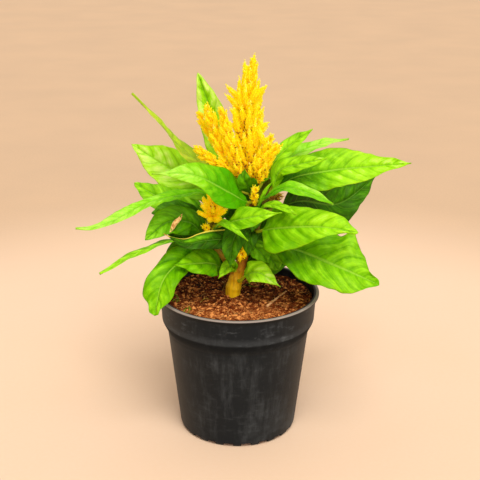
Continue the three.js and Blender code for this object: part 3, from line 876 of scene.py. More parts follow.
leafLook = {
    "stalkSteps": 8,
    "bladeSteps": 0.8,  # for each mm of blade
    "stepLimits": (26, 84),
    "petioleRadius": 1.1,
    "tipWidth": 0.5,
    "fold": 12.0,  # degrees that each half lifts
    "veinPairs": 0.06,  # for each mm of blade
    "quilt": 1.7,  # mm, between the veins of a leaf of the width below
    "quiltWidth": 36,
    "pucker": 0.45,  # mm, of the small bumps all over it
    "wave": 0.05,  # share of the width
    "beak": 0.22,  # how much the edge draws in before the tip
    "scallop": 0.014,  # how far the edge steps in at each vein
    "thickness": 0.55,
    "yellow": "#e2d44e",
    "dry": "#c98a4c",
}


# A leaf's stem, height on it, way it faces, width, petiole length, widest place and route. Then what it
# has of its own: tone, fold in degrees, blunt (fuller tip), beak, and lists. An edge is (half, place
# along, reach, bulge). Spots of painted light and shade (light, which adds to the tone), of yellow or of
# dry tissue are (place along, place across, reach along, reach across, amount). A flap is the places
# along and across that a torn strip follows.
def leafRow(stem, at, face, width, stalk, widest, route, **more):
    return dict(stem=stem, at=at, face=face, width=width, stalk=stalk, widest=widest, route=route, **more)


leafTable = {
    "leaf_right_long": leafRow(right, 186, (0, -1, 0.9), 34, 12, 0.38, [(39, 8, 200), (68, 8, 207),
        (98, 6, 211), (129.3, 2, 215)], tone=0.75, blunt=-0.04, beak=-0.3, edges=[(1, 0.62, 0.1, 0.06),
        (1, 0.8, 0.08, -0.12)], light=[(0, 0, 0.3, 1.5, -0.85)]),
    "leaf_right_shaded": leafRow(right, 176, (0.2, -1, 0.5), 39, 19, 0.37, [(48, 30, 176), (82.5, 58, 166),
        (115, 80, 184)], slot="leaf_dark", tone=0.24, edges=[(-1, 0.55, 0.12, 0.1), (-1, 0.72, 0.08, -0.15),
        (-1, 0.87, 0.06, 0.15), (-1, 0.95, 0.07, 1.1)], light=[(0.75, 0, 0.4, 1.5, 0.05)]),
    "leaf_right_strap": leafRow(main, 185, (0, -0.5, 1), 13, 8, 0.45, [(34, -14, 200), (52, -26, 199),
        (68, -38, 195)], slot="leaf_pale", tone=0.2, light=[(0.6, 0.9, 0.5, 0.5, 0.45)]),
    "leaf_right_front": leafRow(main, 162, (0.1, -1, 0.7), 31.5, 18, 0.3, [(27, -25, 172), (60, -42, 179),
        (85.5, -48.5, 177)], tone=0.6, blunt=0.65, edges=[(1, 0.08, 0.08, 0.9), (1, 0.89, 0.07, 0.35),
        (-1, 0.22, 0.2, 0.4), (-1, 0.92, 0.2, -0.65)]),
    "leaf_right_low": leafRow(main, 147, (0.4, -1, 0.8), 47.5, 22, 0.5, [(39, -15, 152.5), (71, -34, 146.5),
        (103, -46, 136)], tone=0.37, blunt=0.2, beak=0.2, edges=[(1, 0.38, 0.12, 0.07),
        (1, 0.62, 0.06, 0.25), (1, 0.75, 0.05, -0.05), (1, 0.91, 0.09, -0.65), (-1, 0.97, 0.06, -0.15),
        (-1, 0.45, 0.14, 0.03), (-1, 0.7, 0.08, -0.04)], light=[(0.7, -0.3, 0.35, 0.8, 0.12)]),
    "leaf_top_right": leafRow(main, 193, (-0.3, -1, 0.7), 14.5, 8, 0.45, [(28, 12, 214.5), (41, 18, 226),
        (56, 22, 236)]),
    "leaf_top_back_right": leafRow(right, 191, (0, -0.4, 1), 14, 10, 0.42, [(40, 28, 211.3),
        (63, 45, 218.6), (88, 60, 219.3)], slot="leaf_pale"),
    "leaf_right_upper": leafRow(right, 191, (-0.1, -0.9, 0.9), 15, 6, 0.45, [(31, 2, 209), (46, -2, 215),
        (65, -8, 221)], tone=0.62),
    "leaf_top_upright": leafRow(main, 189, (0.1, -1, 0.1), 26, 14, 0.42, [(-11.5, 32, 215),
        (-21.6, 38, 245), (-31.8, 38, 275.8)], tone=0.5, fold=24, blunt=0.25, beak=0.1,
        light=[(0.6, 0.75, 0.7, 0.5, 0.6), (0.75, -0.75, 0.5, 0.45, 0.6)]),
    "leaf_left_edge_on": leafRow(main, 191, (0.6, -0.17, 1), 21, 14, 0.3, [(-38.8, 12, 218.8),
        (-56.4, 14, 238.4), (-68.8, 15, 252.5), (-80, 16, 264)], tone=0.45, fold=10,
        edges=[(-1, 0.9, 0.06, 0.3), (1, 0.9, 0.06, 0.3), (1, 0.35, 0.25, 0.25)],
        yellow=[(0.5, 0, 9, 9, 0.45)]),
    "leaf_left_back": leafRow(main, 181, (-0.2, -1, 0.7), 33, 16, 0.5, [(-34, 24, 193.5), (-58, 35, 203.5),
        (-84.6, 45, 217.7)], tone=0.75, blunt=-0.2, edges=[(1, 0.85, 0.1, -0.06), (1, 0.45, 0.15, 0.08)],
        light=[(0.75, 0.5, 0.3, 0.8, 0.25)]),
    "leaf_left_over": leafRow(main, 185, (0, -1, 0.9), 30, 5, 0.33, [(-9, -20, 199), (-33, -37, 216),
        (-61, -46, 219)], slot="leaf_pale", tone=0.3, light=[(0.95, 0, 0.45, 1.2, 0.35),
        (0.2, 0, 0.35, 2, -0.45)]),
    "leaf_left_strap": leafRow(left, 170, (0, -0.4, 1), 12.5, 10, 0.5, [(-26, -4, 192), (-43, -17, 195),
        (-64, -33, 194.3), (-77.3, -45, 190.7), (-91.9, -55, 185.6), (-102.6, -60, 183.3),
        (-113.8, -62, 183.7)], slot="leaf_pale", beak=0.1, edges=[(-1, 0.87, 0.05, -0.2),
        (-1, 0.74, 0.05, 0.3), (-1, 0.55, 0.1, -0.3)], light=[(0.1, 0, 0.35, 2, -0.3)]),
    "leaf_left_mid": leafRow(left, 166, (0, -0.9, 0.8), 23, 10, 0.45, [(-35, 8, 175.5), (-58, 12, 182.5),
        (-80.6, 18, 193.8)], blunt=0.3, edges=[(-1, 0.8, 0.06, -0.2)]),
    "leaf_left_shaded": leafRow(left, 162, (0, -0.8, 0.8), 18, 8, 0.5, [(-33, -4, 173), (-49, -5, 179),
        (-65.5, -7, 177.5)], slot="leaf_dark"),
    "leaf_left_torn": leafRow(left, 158, (-0.2, -1, 0.5), 23, 8, 0.45, [(-35, -14, 172), (-52, -20, 175),
        (-68.5, -31, 164.6)], slot="leaf_dark", blunt=0.1, beak=0.05, light=[(1, 0, 0.3, 2, 0.5)],
        flap=[(0.4, -0.42), (0.43, -0.14), (0.5, 0.2), (0.57, 0.56), (0.69, 0.9)]),
    "leaf_left_yellow_edge": leafRow(main, 158, (0, -1, 0.5), 15, 8, 0.35, [(-8, -18, 161.5),
        (-25, -29, 163.5), (-39, -34, 163), (-54, -40, 172.5)], slot="leaf_dark", tone=0.06,
        light=[(0.62, -0.4, 0.2, 0.4, 0.8)], yellow=[(0.5, -1, 0.65, 0.16), (0.97, 0, 0.05, 2)],
        dry=[(1, 0, 0.05, 2)]),
    "leaf_centre_drooping": leafRow(main, 163, (0, -1, 0.5), 18, 4, 0.42, [(0, -13, 166), (-5, -25, 158),
        (-6, -28, 142)], slot="leaf_dark", tone=0.35),
    "leaf_left_narrow": leafRow(left, 153, (-0.2, 0.05, 1), 14, 12, 0.58, [(-45, -22, 161.5),
        (-72, -38, 157.4), (-99.5, -55, 147)], tone=0.7, fold=6),
    "leaf_left_behind": leafRow(left, 149, (-0.3, -0.9, 0.8), 14, 8, 0.5, [(-32, 2, 150), (-46, 0, 147),
        (-56.5, -6, 134)], slot="leaf_dark"),
    "leaf_left_hanging": leafRow(left, 144, (-0.3, -1, 0.4), 25, 16, 0.62, [(-41, -22, 145),
        (-55, -38, 136), (-61.5, -48, 111.5)], tone=0.32, edges=[(-1, 0.2, 0.15, 0.5),
        (-1, 0.55, 0.12, -0.12), (-1, 0.8, 0.08, 0.12), (-1, 0.9, 0.06, -0.2), (1, 0.92, 0.08, -0.3)]),
    "leaf_front_left": leafRow(left, 133, (0, -1, 0.8), 24, 6, 0.4, [(-19, -12, 139), (-31, -25, 144),
        (-47, -37, 147)], tone=0.28),
    "leaf_front_small": leafRow(main, 128, (-0.2, -1, 0.5), 11, 3, 0.4, [(-6, -8, 136), (-10, -14, 135),
        (-15, -20, 130)]),
    "leaf_front_bright": leafRow(main, 121, (0.2, -1, 0.7), 19, 13, 0.34, [(7, -10, 129.5), (16, -20, 135),
        (32, -24, 125)], tone=0.84),
    "leaf_centre_shaded": leafRow(main, 153, (0.2, -1, 0.5), 16, 4, 0.45, [(10, -3, 153), (17, -8, 147),
        (23, -12, 140)], slot="leaf_dark", tone=0.9),
    "leaf_centre_low": leafRow(main, 150, (0, -1, 0.6), 24, 5, 0.5, [(20, 4, 144), (26, 0, 138),
        (31, -4, 131)], slot="leaf_dark", tone=0.95),
    "leaf_centre_front": leafRow(left, 169, (0, -1, 0.8), 18, 24, 0.32, [(-3, -32, 180), (14, -39, 186),
        (31, -43, 190)]),
    "leaf_centre_narrow": leafRow(main, 171, (0, -0.6, 1), 9, 6, 0.5, [(20, -16, 187), (31, -30, 190),
        (42, -42, 188)]),
    "leaf_centre_blade": leafRow(left, 167, (0, -0.8, 0.8), 6.5, 5, 0.45, [(-12.1, -31, 178.4),
        (-2.5, -43, 177), (7, -46, 169.4)]),
    "leaf_under_plume": leafRow(main, 194, (0, -1, 0.2), 15, 2, 0.4, [(7, -6, 199), (4, -10, 206),
        (4.5, -9, 213)], slot="leaf_dark"),
    "leaf_sliver": leafRow(main, 178, (0, -1, 0.5), 3, 4, 0.5, [(17, -9, 190), (21, -12, 199),
        (26, -13, 205)]),
    "leaf_left_small": leafRow(left, 156, (0, -0.8, 0.8), 7, 4, 0.5, [(-25, -18, 160), (-32, -24, 160),
        (-40, -28, 158)]),
    "leaf_right_brown": leafRow(right, 180, (0.1, -1, 0.4), 15, 3, 0.5, [(20, 12, 187), (21, 15, 193),
        (22, 17, 200)], slot="leaf_browned"),
    "leaf_back_high": leafRow(main, 178, (0, 0.4, 1), 30, 14, 0.42, [(15, 35, 200), (20, 70, 200),
        (22, 95, 188)]),
    "leaf_back_left": leafRow(main, 166, (-0.1, -0.8, 0.8), 30, 14, 0.42, [(-13, 24, 180), (-27, 44, 188),
        (-42, 68, 188)]),
    "leaf_back_right": leafRow(main, 149, (0.2, -0.4, 1), 26, 14, 0.42, [(28, 18, 152), (44, 34, 158),
        (58, 50, 156)]),
    "leaf_back_low_left": leafRow(main, 146, (-0.2, -0.5, 1), 28, 12, 0.42, [(-18, 22, 152), (-32, 40, 160),
        (-46, 56, 160)], slot="leaf_dark"),
    "leaf_back_low": leafRow(main, 142, (0, -1, 0.3), 38, 14, 0.42, [(6, 21, 154), (8, 31, 167),
        (10, 37, 184)], slot="leaf_dark"),
    # Small leaves that fill the middle of the plant. They are looks only.
    "leaf_inner_low_right": leafRow(main, 131, (0, -1, 0.5), 24, 4, 0.45, [(13.9, 12, 130.8),
        (25, 16, 130.2), (39.3, 17, 128.2)], slot="leaf_dark"),
    "leaf_inner_mid_right": leafRow(main, 141, (0, -1, 0.4), 17, 3, 0.42, [(12, 9, 146), (18, 11, 154),
        (25, 10, 161)], slot="leaf_dark"),
    "leaf_inner_left": leafRow(main, 134, (0, -1, 0.5), 24, 4, 0.45, [(-6.6, 13, 131.1), (-15.3, 16, 132.5),
        (-27.2, 18, 133.4)], slot="leaf_dark"),
    "leaf_inner_front": leafRow(main, 158, (0.2, -1, 0.3), 13, 2, 0.45, [(9, -8, 163), (8, -13, 157),
        (7, -15, 147)], slot="leaf_dark", tone=0.3),
    "leaf_inner_top_front": leafRow(main, 176, (0, -1, 0.3), 14, 2, 0.45, [(11, -6, 181), (12, -12, 177),
        (10, -16, 166)], slot="leaf_dark", tone=0.3),
    "leaf_inner_top_right": leafRow(main, 168, (0, -1, 0.4), 22, 3, 0.5, [(14, 12, 170), (22, 17, 173),
        (31, 20, 176)], slot="leaf_dark", tone=0.3),
    "leaf_inner_top_left": leafRow(main, 172, (0, -1, 0.4), 24, 3, 0.5, [(3, 12, 174), (-4, 17, 180),
        (-14, 20, 184)], slot="leaf_dark", tone=0.3),
    "leaf_inner_side_left": leafRow(left, 152, (0, -1, 0.3), 19, 3, 0.5, [(-27.2, 0, 153.9),
        (-38.8, 3, 154.4), (-54.3, 4, 157.2)], slot="leaf_dark", tone=0.2),
    "leaf_inner_foot_left": leafRow(left, 142, (0, -1, 0.3), 19, 3, 0.5, [(-18.2, 6, 142.8),
        (-27.6, 8, 141.2), (-40.9, 10, 141.2)], slot="leaf_dark", tone=0.1),
    "leaf_inner_foot_right": leafRow(main, 129, (0, -1, 0.4), 16, 3, 0.5, [(8.3, 6, 133), (15.3, 6, 133.9),
        (22.3, 5, 134.3)], slot="leaf_dark", tone=0.2),
    "leaf_inner_high_left": leafRow(left, 167, (0, -1, 0.4), 14, 3, 0.45, [(-15, 3, 176), (-10, 7, 184),
        (-7, 8, 192)], slot="leaf_dark"),
}
bladeShares = [0, 0.05, 0.12, 0.22, 0.34, 0.46, 0.58, 0.7, 0.8, 0.89, 0.96, 1]


def bladeShape(share, widest, blunt, rise=0.75):
    fall = rise * (1 - widest) / widest
    sharp = (share / widest) ** rise * ((1 - share) / (1 - widest)) ** fall
    return sharp if share < widest else sharp ** (1 - blunt)


def noiseRow(rows):
    return np.array([noise.noise(Vector(row)) for row in rows])


# How far a leaf's edge reaches from its midrib at one place along the blade.
def bladeReach(number, leaf, u):
    look = leafLook
    broad = leaf["width"] / 2 * bladeShape(u, leaf["widest"], leaf.get("blunt", 0.0))
    broad *= 1 + 0.05 * noise.noise(Vector((u * 7, number * 3.7, 0)))
    broad *= 1 - leaf.get("beak", look["beak"]) * math.exp(-((u - 0.93) / 0.07) ** 2)
    return max(broad, between(look["petioleRadius"], look["tipWidth"] / 2, u))


# One leaf's rings, and for each point what its finish reads: its place on the blade and its veins.
def leafRings(number, leaf):
    look = leafLook
    rand = random.Random(number + 40)
    start, out = seat(leaf["stem"], leaf["at"], leaf["route"][0])
    path = Path([start, start + out * 2, *leaf["route"]])
    stalkShare = leaf["stalk"] / path.length
    bladeLength = path.length - leaf["stalk"]
    pairs = round(bladeLength * look["veinPairs"] + 1.4)
    arch = 0.7 * leaf["width"] / bladeLength
    fold = math.radians(leaf.get("fold", look["fold"]))
    bladeV = np.array([-v for v in bladeShares[:0:-1]] + bladeShares)
    circleV = np.sin(np.linspace(-math.pi / 2, math.pi / 2, len(bladeV)))
    waves = [(rand.uniform(2.2, 3.6), rand.uniform(0, 6.28)) for _ in range(2)]
    ripple = look["wave"] * leaf["width"]
    quilt = look["quilt"] * min(leaf["width"] / look["quiltWidth"], 1.2)
    fewest, most = look["stepLimits"]
    steps = min(max(round(bladeLength * look["bladeSteps"]), fewest), most)
    stops = [(k / look["stalkSteps"] * stalkShare, -1.0) for k in range(look["stalkSteps"])]
    stops += [(stalkShare + (1 - stalkShare) * k / steps, k / steps) for k in range(steps + 1)]
    backward = range(len(bladeV))[::-1]
    forward = range(1, len(bladeV) - 1)
    points, values = [], {"along": [], "across": [], "vein": [], "under": [], "swell": []}
    for s, u in stops:
        centre = path.point(s)
        up, side = sectionAxes(out if s == 0 else path.tangent(s), leaf["face"])
        reach = look["petioleRadius"] * (1.25 - 0.25 * min(s / stalkShare, 1))
        spread = 0.0
        if u >= 0:
            reach = bladeReach(number, leaf, u)
            spread = min(max((reach - look["petioleRadius"]) / 3, 0), 1)
        v = between(circleV, bladeV, spread)
        size = np.abs(v)
        lens = np.sqrt(np.maximum(1 - v ** 2, 0))
        tilt = fold * spread
        onBlade = max(u, 0)

        # Veins: a whole number at each side vein. The two halves stand half a step apart.
        phase = pairs * (onBlade - arch * size ** 1.5 * (reach * 2 / leaf["width"]))
        phase = phase + 0.16 * noiseRow((p * 0.9, number * 2.3, 5 + (w < 0)) for p, w in zip(phase, v))
        shifted = phase + 0.5 * (v < 0)

        # Lift: the fold, the tissue puffed up between veins, small puckers and waves of the edge.
        pillow = (0.5 - 0.5 * np.cos(fullTurn * shifted)) ** 0.6 * np.clip(size * 5, 0, 1) * (1 - size ** 3)
        pillow = pillow * (0.65 + 0.6 * noiseRow((p * 0.8, w * 2, number * 1.9) for p, w in zip(phase, v)))
        pucker = noiseRow((onBlade * bladeLength * 0.17, w * reach * 0.2, number * 3.3) for w in v)
        pillow = pillow + 0.35 * pucker * np.clip(size * 5, 0, 1)
        lift = size * reach * math.sin(tilt) * (1.15 - 0.3 * size) + quilt * spread * pillow
        lift = lift + look["pucker"] * spread * pucker * np.clip(size * 4, 0, 1)
        count = np.where(v < 0, waves[0][0], waves[1][0])
        begin = np.where(v < 0, waves[0][1], waves[1][1])
        lift = lift + ripple * spread * size ** 2.4 * np.sin(fullTurn * count * onBlade + begin)

        # Thickness: a thin blade with a groove over the midrib and a ridge below it.
        rib = np.exp(-(v * reach) ** 2)
        slim = between(1.0, look["thickness"] / 2, spread)
        ridge = spread * between(1.25, 0.15, onBlade)
        over = slim * lens - 0.35 * spread * rib
        below = slim * lens + ridge * rib * lens

        wide = 1 + look["scallop"] * spread * size ** 3 * np.cos(fullTurn * (shifted + 0.5))
        for half, spot, run, bulge in leaf.get("edges", []):
            wide = wide + (v * half > 0) * bulge * spread * size * math.exp(-((u - spot) / run) ** 2)
        middle = centre + np.outer(v * wide * reach * math.cos(tilt), side) + np.outer(lift, up)
        top = middle + np.outer(over, up)
        under = middle - np.outer(below, up)
        for isUnder, face, order in ((0.0, top, backward), (1.0, under, forward)):
            points += [face[k] for k in order]
            for key, row in (("across", v), ("vein", phase), ("swell", pillow)):
                values[key] += [row[k] for k in order]
            values["along"] += [u] * len(order)
            values["under"] += [isUnder] * len(order)
    return points, values, 2 * len(bladeV) - 2


def leafFinish(name, look):
    graph, place = newFinish(name)
    along, across, vein, under, swell, tone, dry, yellow = (graph.attribute(key) for key in (
        "along", "across", "vein", "under", "swell", "tone", "dry", "yellow"))
    width = abs(across)
    patch = graph.noise(place, 60.0, detail=5.0, roughness=0.6)
    cells = graph.node("ShaderNodeTexVoronoi", {"feature": "DISTANCE_TO_EDGE"}, {
        "Vector": place, "Scale": 520.0,
    })
    fine = graph.noise(place, 1500.0, detail=2.0)
    leftSide = across.math("LESS_THAN", across, 0.0) * 0.5
    nearVein = vein.math("PINGPONG", vein + leftSide, 0.5)
    onBlade = graph.step(along, -0.05, 0.03)
    inside = (1.0 - graph.step(width, 0.6, 0.95)) * onBlade  # side veins fade out near the edge
    sideVein = graph.step(nearVein + (fine - 0.5) * 0.03, 0.08, 0.01) * inside
    midrib = graph.step(width, 0.07, 0.02) * onBlade
    blotch = graph.noise(place, 230.0, detail=3.0)
    outward = graph.step(along, 0.0, 0.85) * 0.24 - 0.12
    grain = graph.combined(vein * 4.0, width * 1.1, along * 1.5 + tone * 9.0)
    streak = graph.noise(grain, 1.0, detail=4.0, roughness=0.6)  # runs along the side veins
    # Painted light and shade in the shade value: the tone with its light spots, the lighter outer blade, the
    # lighter swell between the veins and the streaks along the side veins. The patches and blotches are the
    # tissue's own mottling.
    shade = (tone * 0.7 + outward + swell * look["puffed"] + (patch - 0.5) * 0.5 + (blotch - 0.5) * 0.25
             + (streak - 0.5) * 0.6 - midrib * 0.1 - 0.02)
    green = graph.ramp(shade, list(zip((0.0, 0.36, 0.7, 1.0), look["greens"])))
    veined = graph.mix(sideVein * look["veinShow"], green, look["vein"])
    ribbed = graph.mix(midrib * 0.6, veined, look["midrib"])
    stalked = graph.mix(1.0 - onBlade, ribbed, look["stalk"])
    sided = graph.mix(under * 0.5, stalked, look["under"])
    yellowed = graph.mix(graph.step(yellow + (patch - 0.5) * 0.3, 0.3, 0.7), sided, leafLook["yellow"])
    dried = graph.step(dry + (fine - 0.5) * 0.3, 0.35, 0.6)
    height = blotch * 0.6 + streak * 1.2 + cells * 0.3 + fine * 0.15 - sideVein * 0.55 - midrib * 0.6
    return endFinish(graph, {
        "Base Color": graph.mix(dried, yellowed, leafLook["dry"]),
        "Roughness": look["rough"] + fine * 0.12 + dried * 0.3,
        "Specular IOR Level": 0.17,
        "Specular Tint": (1.0, 1.0, 0.5, 1.0),
        "Subsurface Weight": 0.2,
        "Subsurface Radius": (0.7, 1.0, 0.05),
        "Subsurface Scale": 0.0015,
        "Normal": graph.bump(height, 0.6, 0.0007),
    })


leafColours = {
    "leaf": {
        "greens": ["#347a00", "#6cb200", "#a4e81c", "#d4fc78"],  # from deep shade to sheen
        "vein": "#509400", "midrib": "#a6dc40", "stalk": "#b9c820", "under": "#84c428",
        "rough": 0.34, "veinShow": 0.24, "puffed": 0.27,
    },
    # Painted sheen: the same leaf tissue in paler greens, for leaves that catch a sheen.
    "leaf_pale": {
        "greens": ["#4ca800", "#86d418", "#bcf460", "#dcffa0"],
        "vein": "#74c018", "midrib": "#a8e048", "stalk": "#b9c820", "under": "#a8dc40",
        "rough": 0.32, "veinShow": 0.2, "puffed": 0.2,
    },
    # Painted shade: the same leaf tissue in darker greens, for leaves that lie in shade.
    "leaf_dark": {
        "greens": ["#163900", "#347000", "#64ac00", "#94d828"],
        "vein": "#5c8c10", "midrib": "#62982a", "stalk": "#8a9a24", "under": "#4c8c18",
        "rough": 0.4, "veinShow": 0.35, "puffed": 0.22,
    },
    "leaf_browned": {
        "greens": ["#2a340a", "#56600e", "#848a20", "#a8a83c"],
        "vein": "#94903c", "midrib": "#94903c", "stalk": "#86782c", "under": "#746a2c",
        "rough": 0.6, "veinShow": 0.4, "puffed": 0.2,
    },
}
leafFinishes = {slot: leafFinish(camel(slot) + "Tissue", colours) for slot, colours in leafColours.items()}


# How far a place on the blade is inside a leaf's spots.
def spotted(spots, u, v):
    total = 0
    for spotU, spotV, reachU, reachV, *amount in spots:
        total += (amount or [1.0])[0] * math.exp(-((u - spotU) / reachU) ** 2 - ((v - spotV) / reachV) ** 2)
    return total


# A torn strip that has dried: it lies along its leaf and its edges curl up.
flapLook = {"width": 3.4, "thickness": 0.35, "curl": 0.8, "dark": "#b87c38", "light": "#f8d088"}


def flapShape(s, turn, centre):
    look = flapLook
    half = look["width"] / 2 * (1 - abs(2 * s - 1) ** 2.2) ** 0.8 + 0.12
    lift = look["curl"] * math.cos(turn) ** 2 * half + math.sin(turn) * look["thickness"] / 2
    return math.cos(turn) * half, lift


def buildFlap(name, leaf, points, values):
    look = flapLook
    tops = [k for k in range(len(points)) if values["under"][k] == 0.0]
    spots = []
    for u, v in leaf["flap"]:
        nearest = min(tops, key=lambda k: 9 * (values["along"][k] - u) ** 2 + (values["across"][k] - v) ** 2)
        spots.append(points[nearest] + unit(leaf["face"]) * look["thickness"])
    graph, place = newFinish("driedTissue")
    grain = graph.noise(place, 500.0, detail=4.0)
    finish = endFinish(graph, {
        "Base Color": graph.mix(graph.step(grain, 0.3, 0.65), look["dark"], look["light"]),
        "Roughness": 0.7, "Normal": graph.bump(grain, 0.4, 0.0004),
    })
    points, faces = tube(Path(spots), 24, 16, leaf["face"], flapShape)
    newPiece(camel(name) + "Flap", points, faces, finish, [])


def buildLeaves():
    for number, (name, leaf) in enumerate(leafTable.items()):
        points, values, sides = leafRings(number, leaf)
        tone = leaf.get("tone", random.Random(number).uniform(0.4, 0.65))
        places = list(zip(values["along"], values["across"]))
        # The light spots add painted light and shade to the tone: a plus amount lightens, a minus one
        # darkens.
        for key, spots, start in (("tone", "light", tone), ("dry", "dry", 0), ("yellow", "yellow", 0)):
            values[key] = [start + spotted(leaf.get(spots, []), u, v) for u, v in places]
        slot = leaf.get("slot", "leaf")
        faces = ringFaces(len(points) // sides, sides)
        replaced = [name] if name in frame["nodes"] else []
        newPiece(camel(name), points, faces, leafFinishes[slot], replaced, values)
        if "flap" in leaf:
            buildFlap(name, leaf, points, values)


buildLeaves()
print("leaves built:", len(leafTable))


# Plumes: spikelets spiral up a curved axis, and Geometry Nodes cover them with tufts of bracts

plumeLook = {
    "spikeletGap": 1.6,  # mm of axis for each spikelet
    "goldenAngle": 2.39996,
    "axis": 0.36,  # thickness of the axis, as a share of the plume
    "lift": 2.1,  # how far a spikelet climbs, in plume radii
    "spikeletSize": (0.8, 2.8),
    "tuftGap": 1.0,
    "tuftSize": 1.0,
    "bractLength": 2.3,
    "lean": 2.4,  # how much tufts point along their spikelet
    "bracts": 3,
    "face": (0.21, 1.0, 0.13),
    "seed": "#6a3200",
    "glow": 0.22,  # painted light: emission that makes the bracts glow, standing in for light that comes through them
}


# A plume's route and radii. With a stem it starts on that stem, at a height or else at its end. A gap is
# the mm of axis for each spikelet, and a high value of round gives spikelets with a round end. Fingers
# are spikelets that stand out: (share of the axis where it starts, tip, thickness).
def plumeRow(route, radii, **more):
    return dict(route=route, radii=radii, **more)


plumeTable = {
    "plume_main": plumeRow([(7, 0, 225), (6, 0, 255), (7.8, 0, 277), (10.8, 0, 293)], [2.4, 8, 12, 12.6, 12,
        10.6, 6.9, 4.8, 2], stem=main, fingers=[(0.8, (11, 0, 296.3), 3.6), (0.76, (3.8, 0, 291.4), 3.6),
        (0.66, (-9.8, 0, 273.6), 3), (0.6, (-10, -1, 267), 3.2), (0.66, (20, -3, 274.2), 3.8),
        (0.69, (14.4, 1, 275.5), 2.6), (0.57, (16.8, -2, 263), 2.8), (0.5, (17.6, -3, 257), 3),
        (0.42, (22, -4, 247.2), 3.4), (0.4, (20.8, -4, 243), 3), (0.5, (-6.5, -2, 257), 3),
        (0.42, (-8, -2, 247), 3), (0.66, (3, 13, 272), 2.4), (0.57, (14, 13, 263), 2.6),
        (0.6, (8, -12, 264), 2.4), (0.5, (-5, 14, 256), 2.6), (0.45, (14, 15, 247), 2.6),
        (0.4, (2, 16, 240), 2.6)]),
    "plume_left_tall": plumeRow([(1, -3, 203), (-12, -4, 226), (-24.5, -4, 259.5)], [1.5, 5.4, 6.4, 5.8,
        4.6, 2.2]),
    "plume_left_inner": plumeRow([(1, -8, 206), (-7.5, -10, 235), (-13, -10, 259)], [1.5, 5.4, 5.6, 4.8,
        3.8, 1.9]),
    "plume_left_outer": plumeRow([(-5, 1, 207), (-17, 5, 232), (-31, 5, 252)], [1.5, 4.4, 5, 4.8, 3.8, 1.8],
        fingers=[(0.6, (-22, 13, 250), 2.2)]),
    "plume_left_low": plumeRow([(-6, -8, 210), (-19, -10, 219.5), (-32, -10, 228.8)], [1.5, 3.8, 4.2, 4.2,
        3.8, 2.2]),
    "plume_right_tall": plumeRow([(15, -4, 200), (17.5, -6, 222), (24.2, -6, 237.8)], [1.5, 5, 5.6, 4.6,
        3.1, 1.5], fingers=[(0.55, (23, 5, 236), 2.2), (0.75, (14.5, -9, 243), 2.6)]),
    "plume_right_low": plumeRow([(18, -3, 203), (21.5, -3, 218), (29.2, -4, 230)], [1.5, 4.4, 5, 4.4, 3.4,
        1.8]),
    "plume_side": plumeRow([(-18, -14, 182), (-20, -14, 194)], [1.5, 3.4, 4.2, 4, 3, 1.4], stem=left,
        gap=3.2, round=7, fingers=[(0.6, (-22.4, -14, 196.5), 2.3), (0.4, (-26.8, -15, 193), 2),
        (0.3, (-28.2, -15, 188), 1.8), (0.2, (-30.6, -16, 182), 1.7), (0.4, (-12, -17, 188.6), 2.2),
        (0.3, (-8.5, -17, 184.4), 2), (0.15, (-13.4, -18, 177), 2.6), (0.15, (-22, -18, 176.4), 1.9)]),
    "bud_centre": plumeRow([(12, -8, 191), (12, -9, 199)], [1, 3, 3.4, 2.6, 1.2], stem=main, at=184),
    "bud_low": plumeRow([(1.8, -6, 143.5), (3, -8, 150.5)], [1.5, 4.8, 5.8, 5.2, 3], stem=main, at=139,
        gap=1.1),
    "bud_left": plumeRow([(-23, -12, 165), (-25, -14, 170)], [0.8, 2.3, 2.6, 1.2], stem=left, at=162),
    "bud_dried": plumeRow([(25.6, 0, 187), (28.6, -3, 189.4), (31.8, -4, 191)], [1, 2.6, 3, 2.4, 1.2],
        stem=right, at=184),
}
bractLook = {
    "yellowBracts": [(0.0, "#d89000"), (0.2, "#ffbc00"), (0.45, "#ffd800"), (0.75, "#fff000"),
                     (1.0, "#fffcc0")],
    "goldenSpikelets": [(0.0, "#7a4400"), (0.2, "#d08800"), (0.5, "#ffc800"), (1.0, "#ffe800")],
    "driedBracts": [(0.0, "#6a3c08"), (0.5, "#b07c10"), (1.0, "#e0b840")],
    "driedSpikelets": [(0.0, "#3a1e08"), (1.0, "#7a4a18")],
}


# Bright tips over deeper gaps, partly the plume's own colour and partly painted light and shade, with dark
# seeds low down and in the middle of the main plume.
def bractFinish(name):
    look = plumeLook
    graph, place = newFinish(name)
    tip, tone, glow = (graph.attribute(key) for key in ("tip", "tone", "glow"))
    cloud = graph.noise(place, 260.0, detail=2.0)
    ramp = graph.ramp(tip * 0.1 + glow * 0.5 + tone * 0.1 + cloud * 0.25 + 0.04, bractLook[name])
    height = graph.coordinate(place, "Z")
    fromMiddle = abs(graph.coordinate(place, "X") - 0.004)
    central = (1.0 - graph.step(fromMiddle, 0.005, 0.01)) * (1.0 - graph.step(height, 0.25, 0.265))
    lowDown = 1.0 - graph.step(height, 0.208, 0.224)
    seed = graph.step(tone + (central + lowDown) * 0.21, 0.985, 1.0) * (1.0 - graph.step(glow, 0.5, 0.8))
    colour = graph.mix(seed, ramp, look["seed"])
    return endFinish(graph, {
        "Base Color": colour,
        "Roughness": 0.45 - tip * 0.1,
        "Specular IOR Level": 0.3,
        "Subsurface Weight": 0.6,
        "Subsurface Radius": (1.0, 0.95, 0.2),
        "Subsurface Scale": 0.0025,
        # Painted light: the bracts glow with their own colour, more towards the tips.
        "Emission Color": graph.mix(0.47 + glow * 0.53, "#000000", colour),
        "Emission Strength": look["glow"],
    })


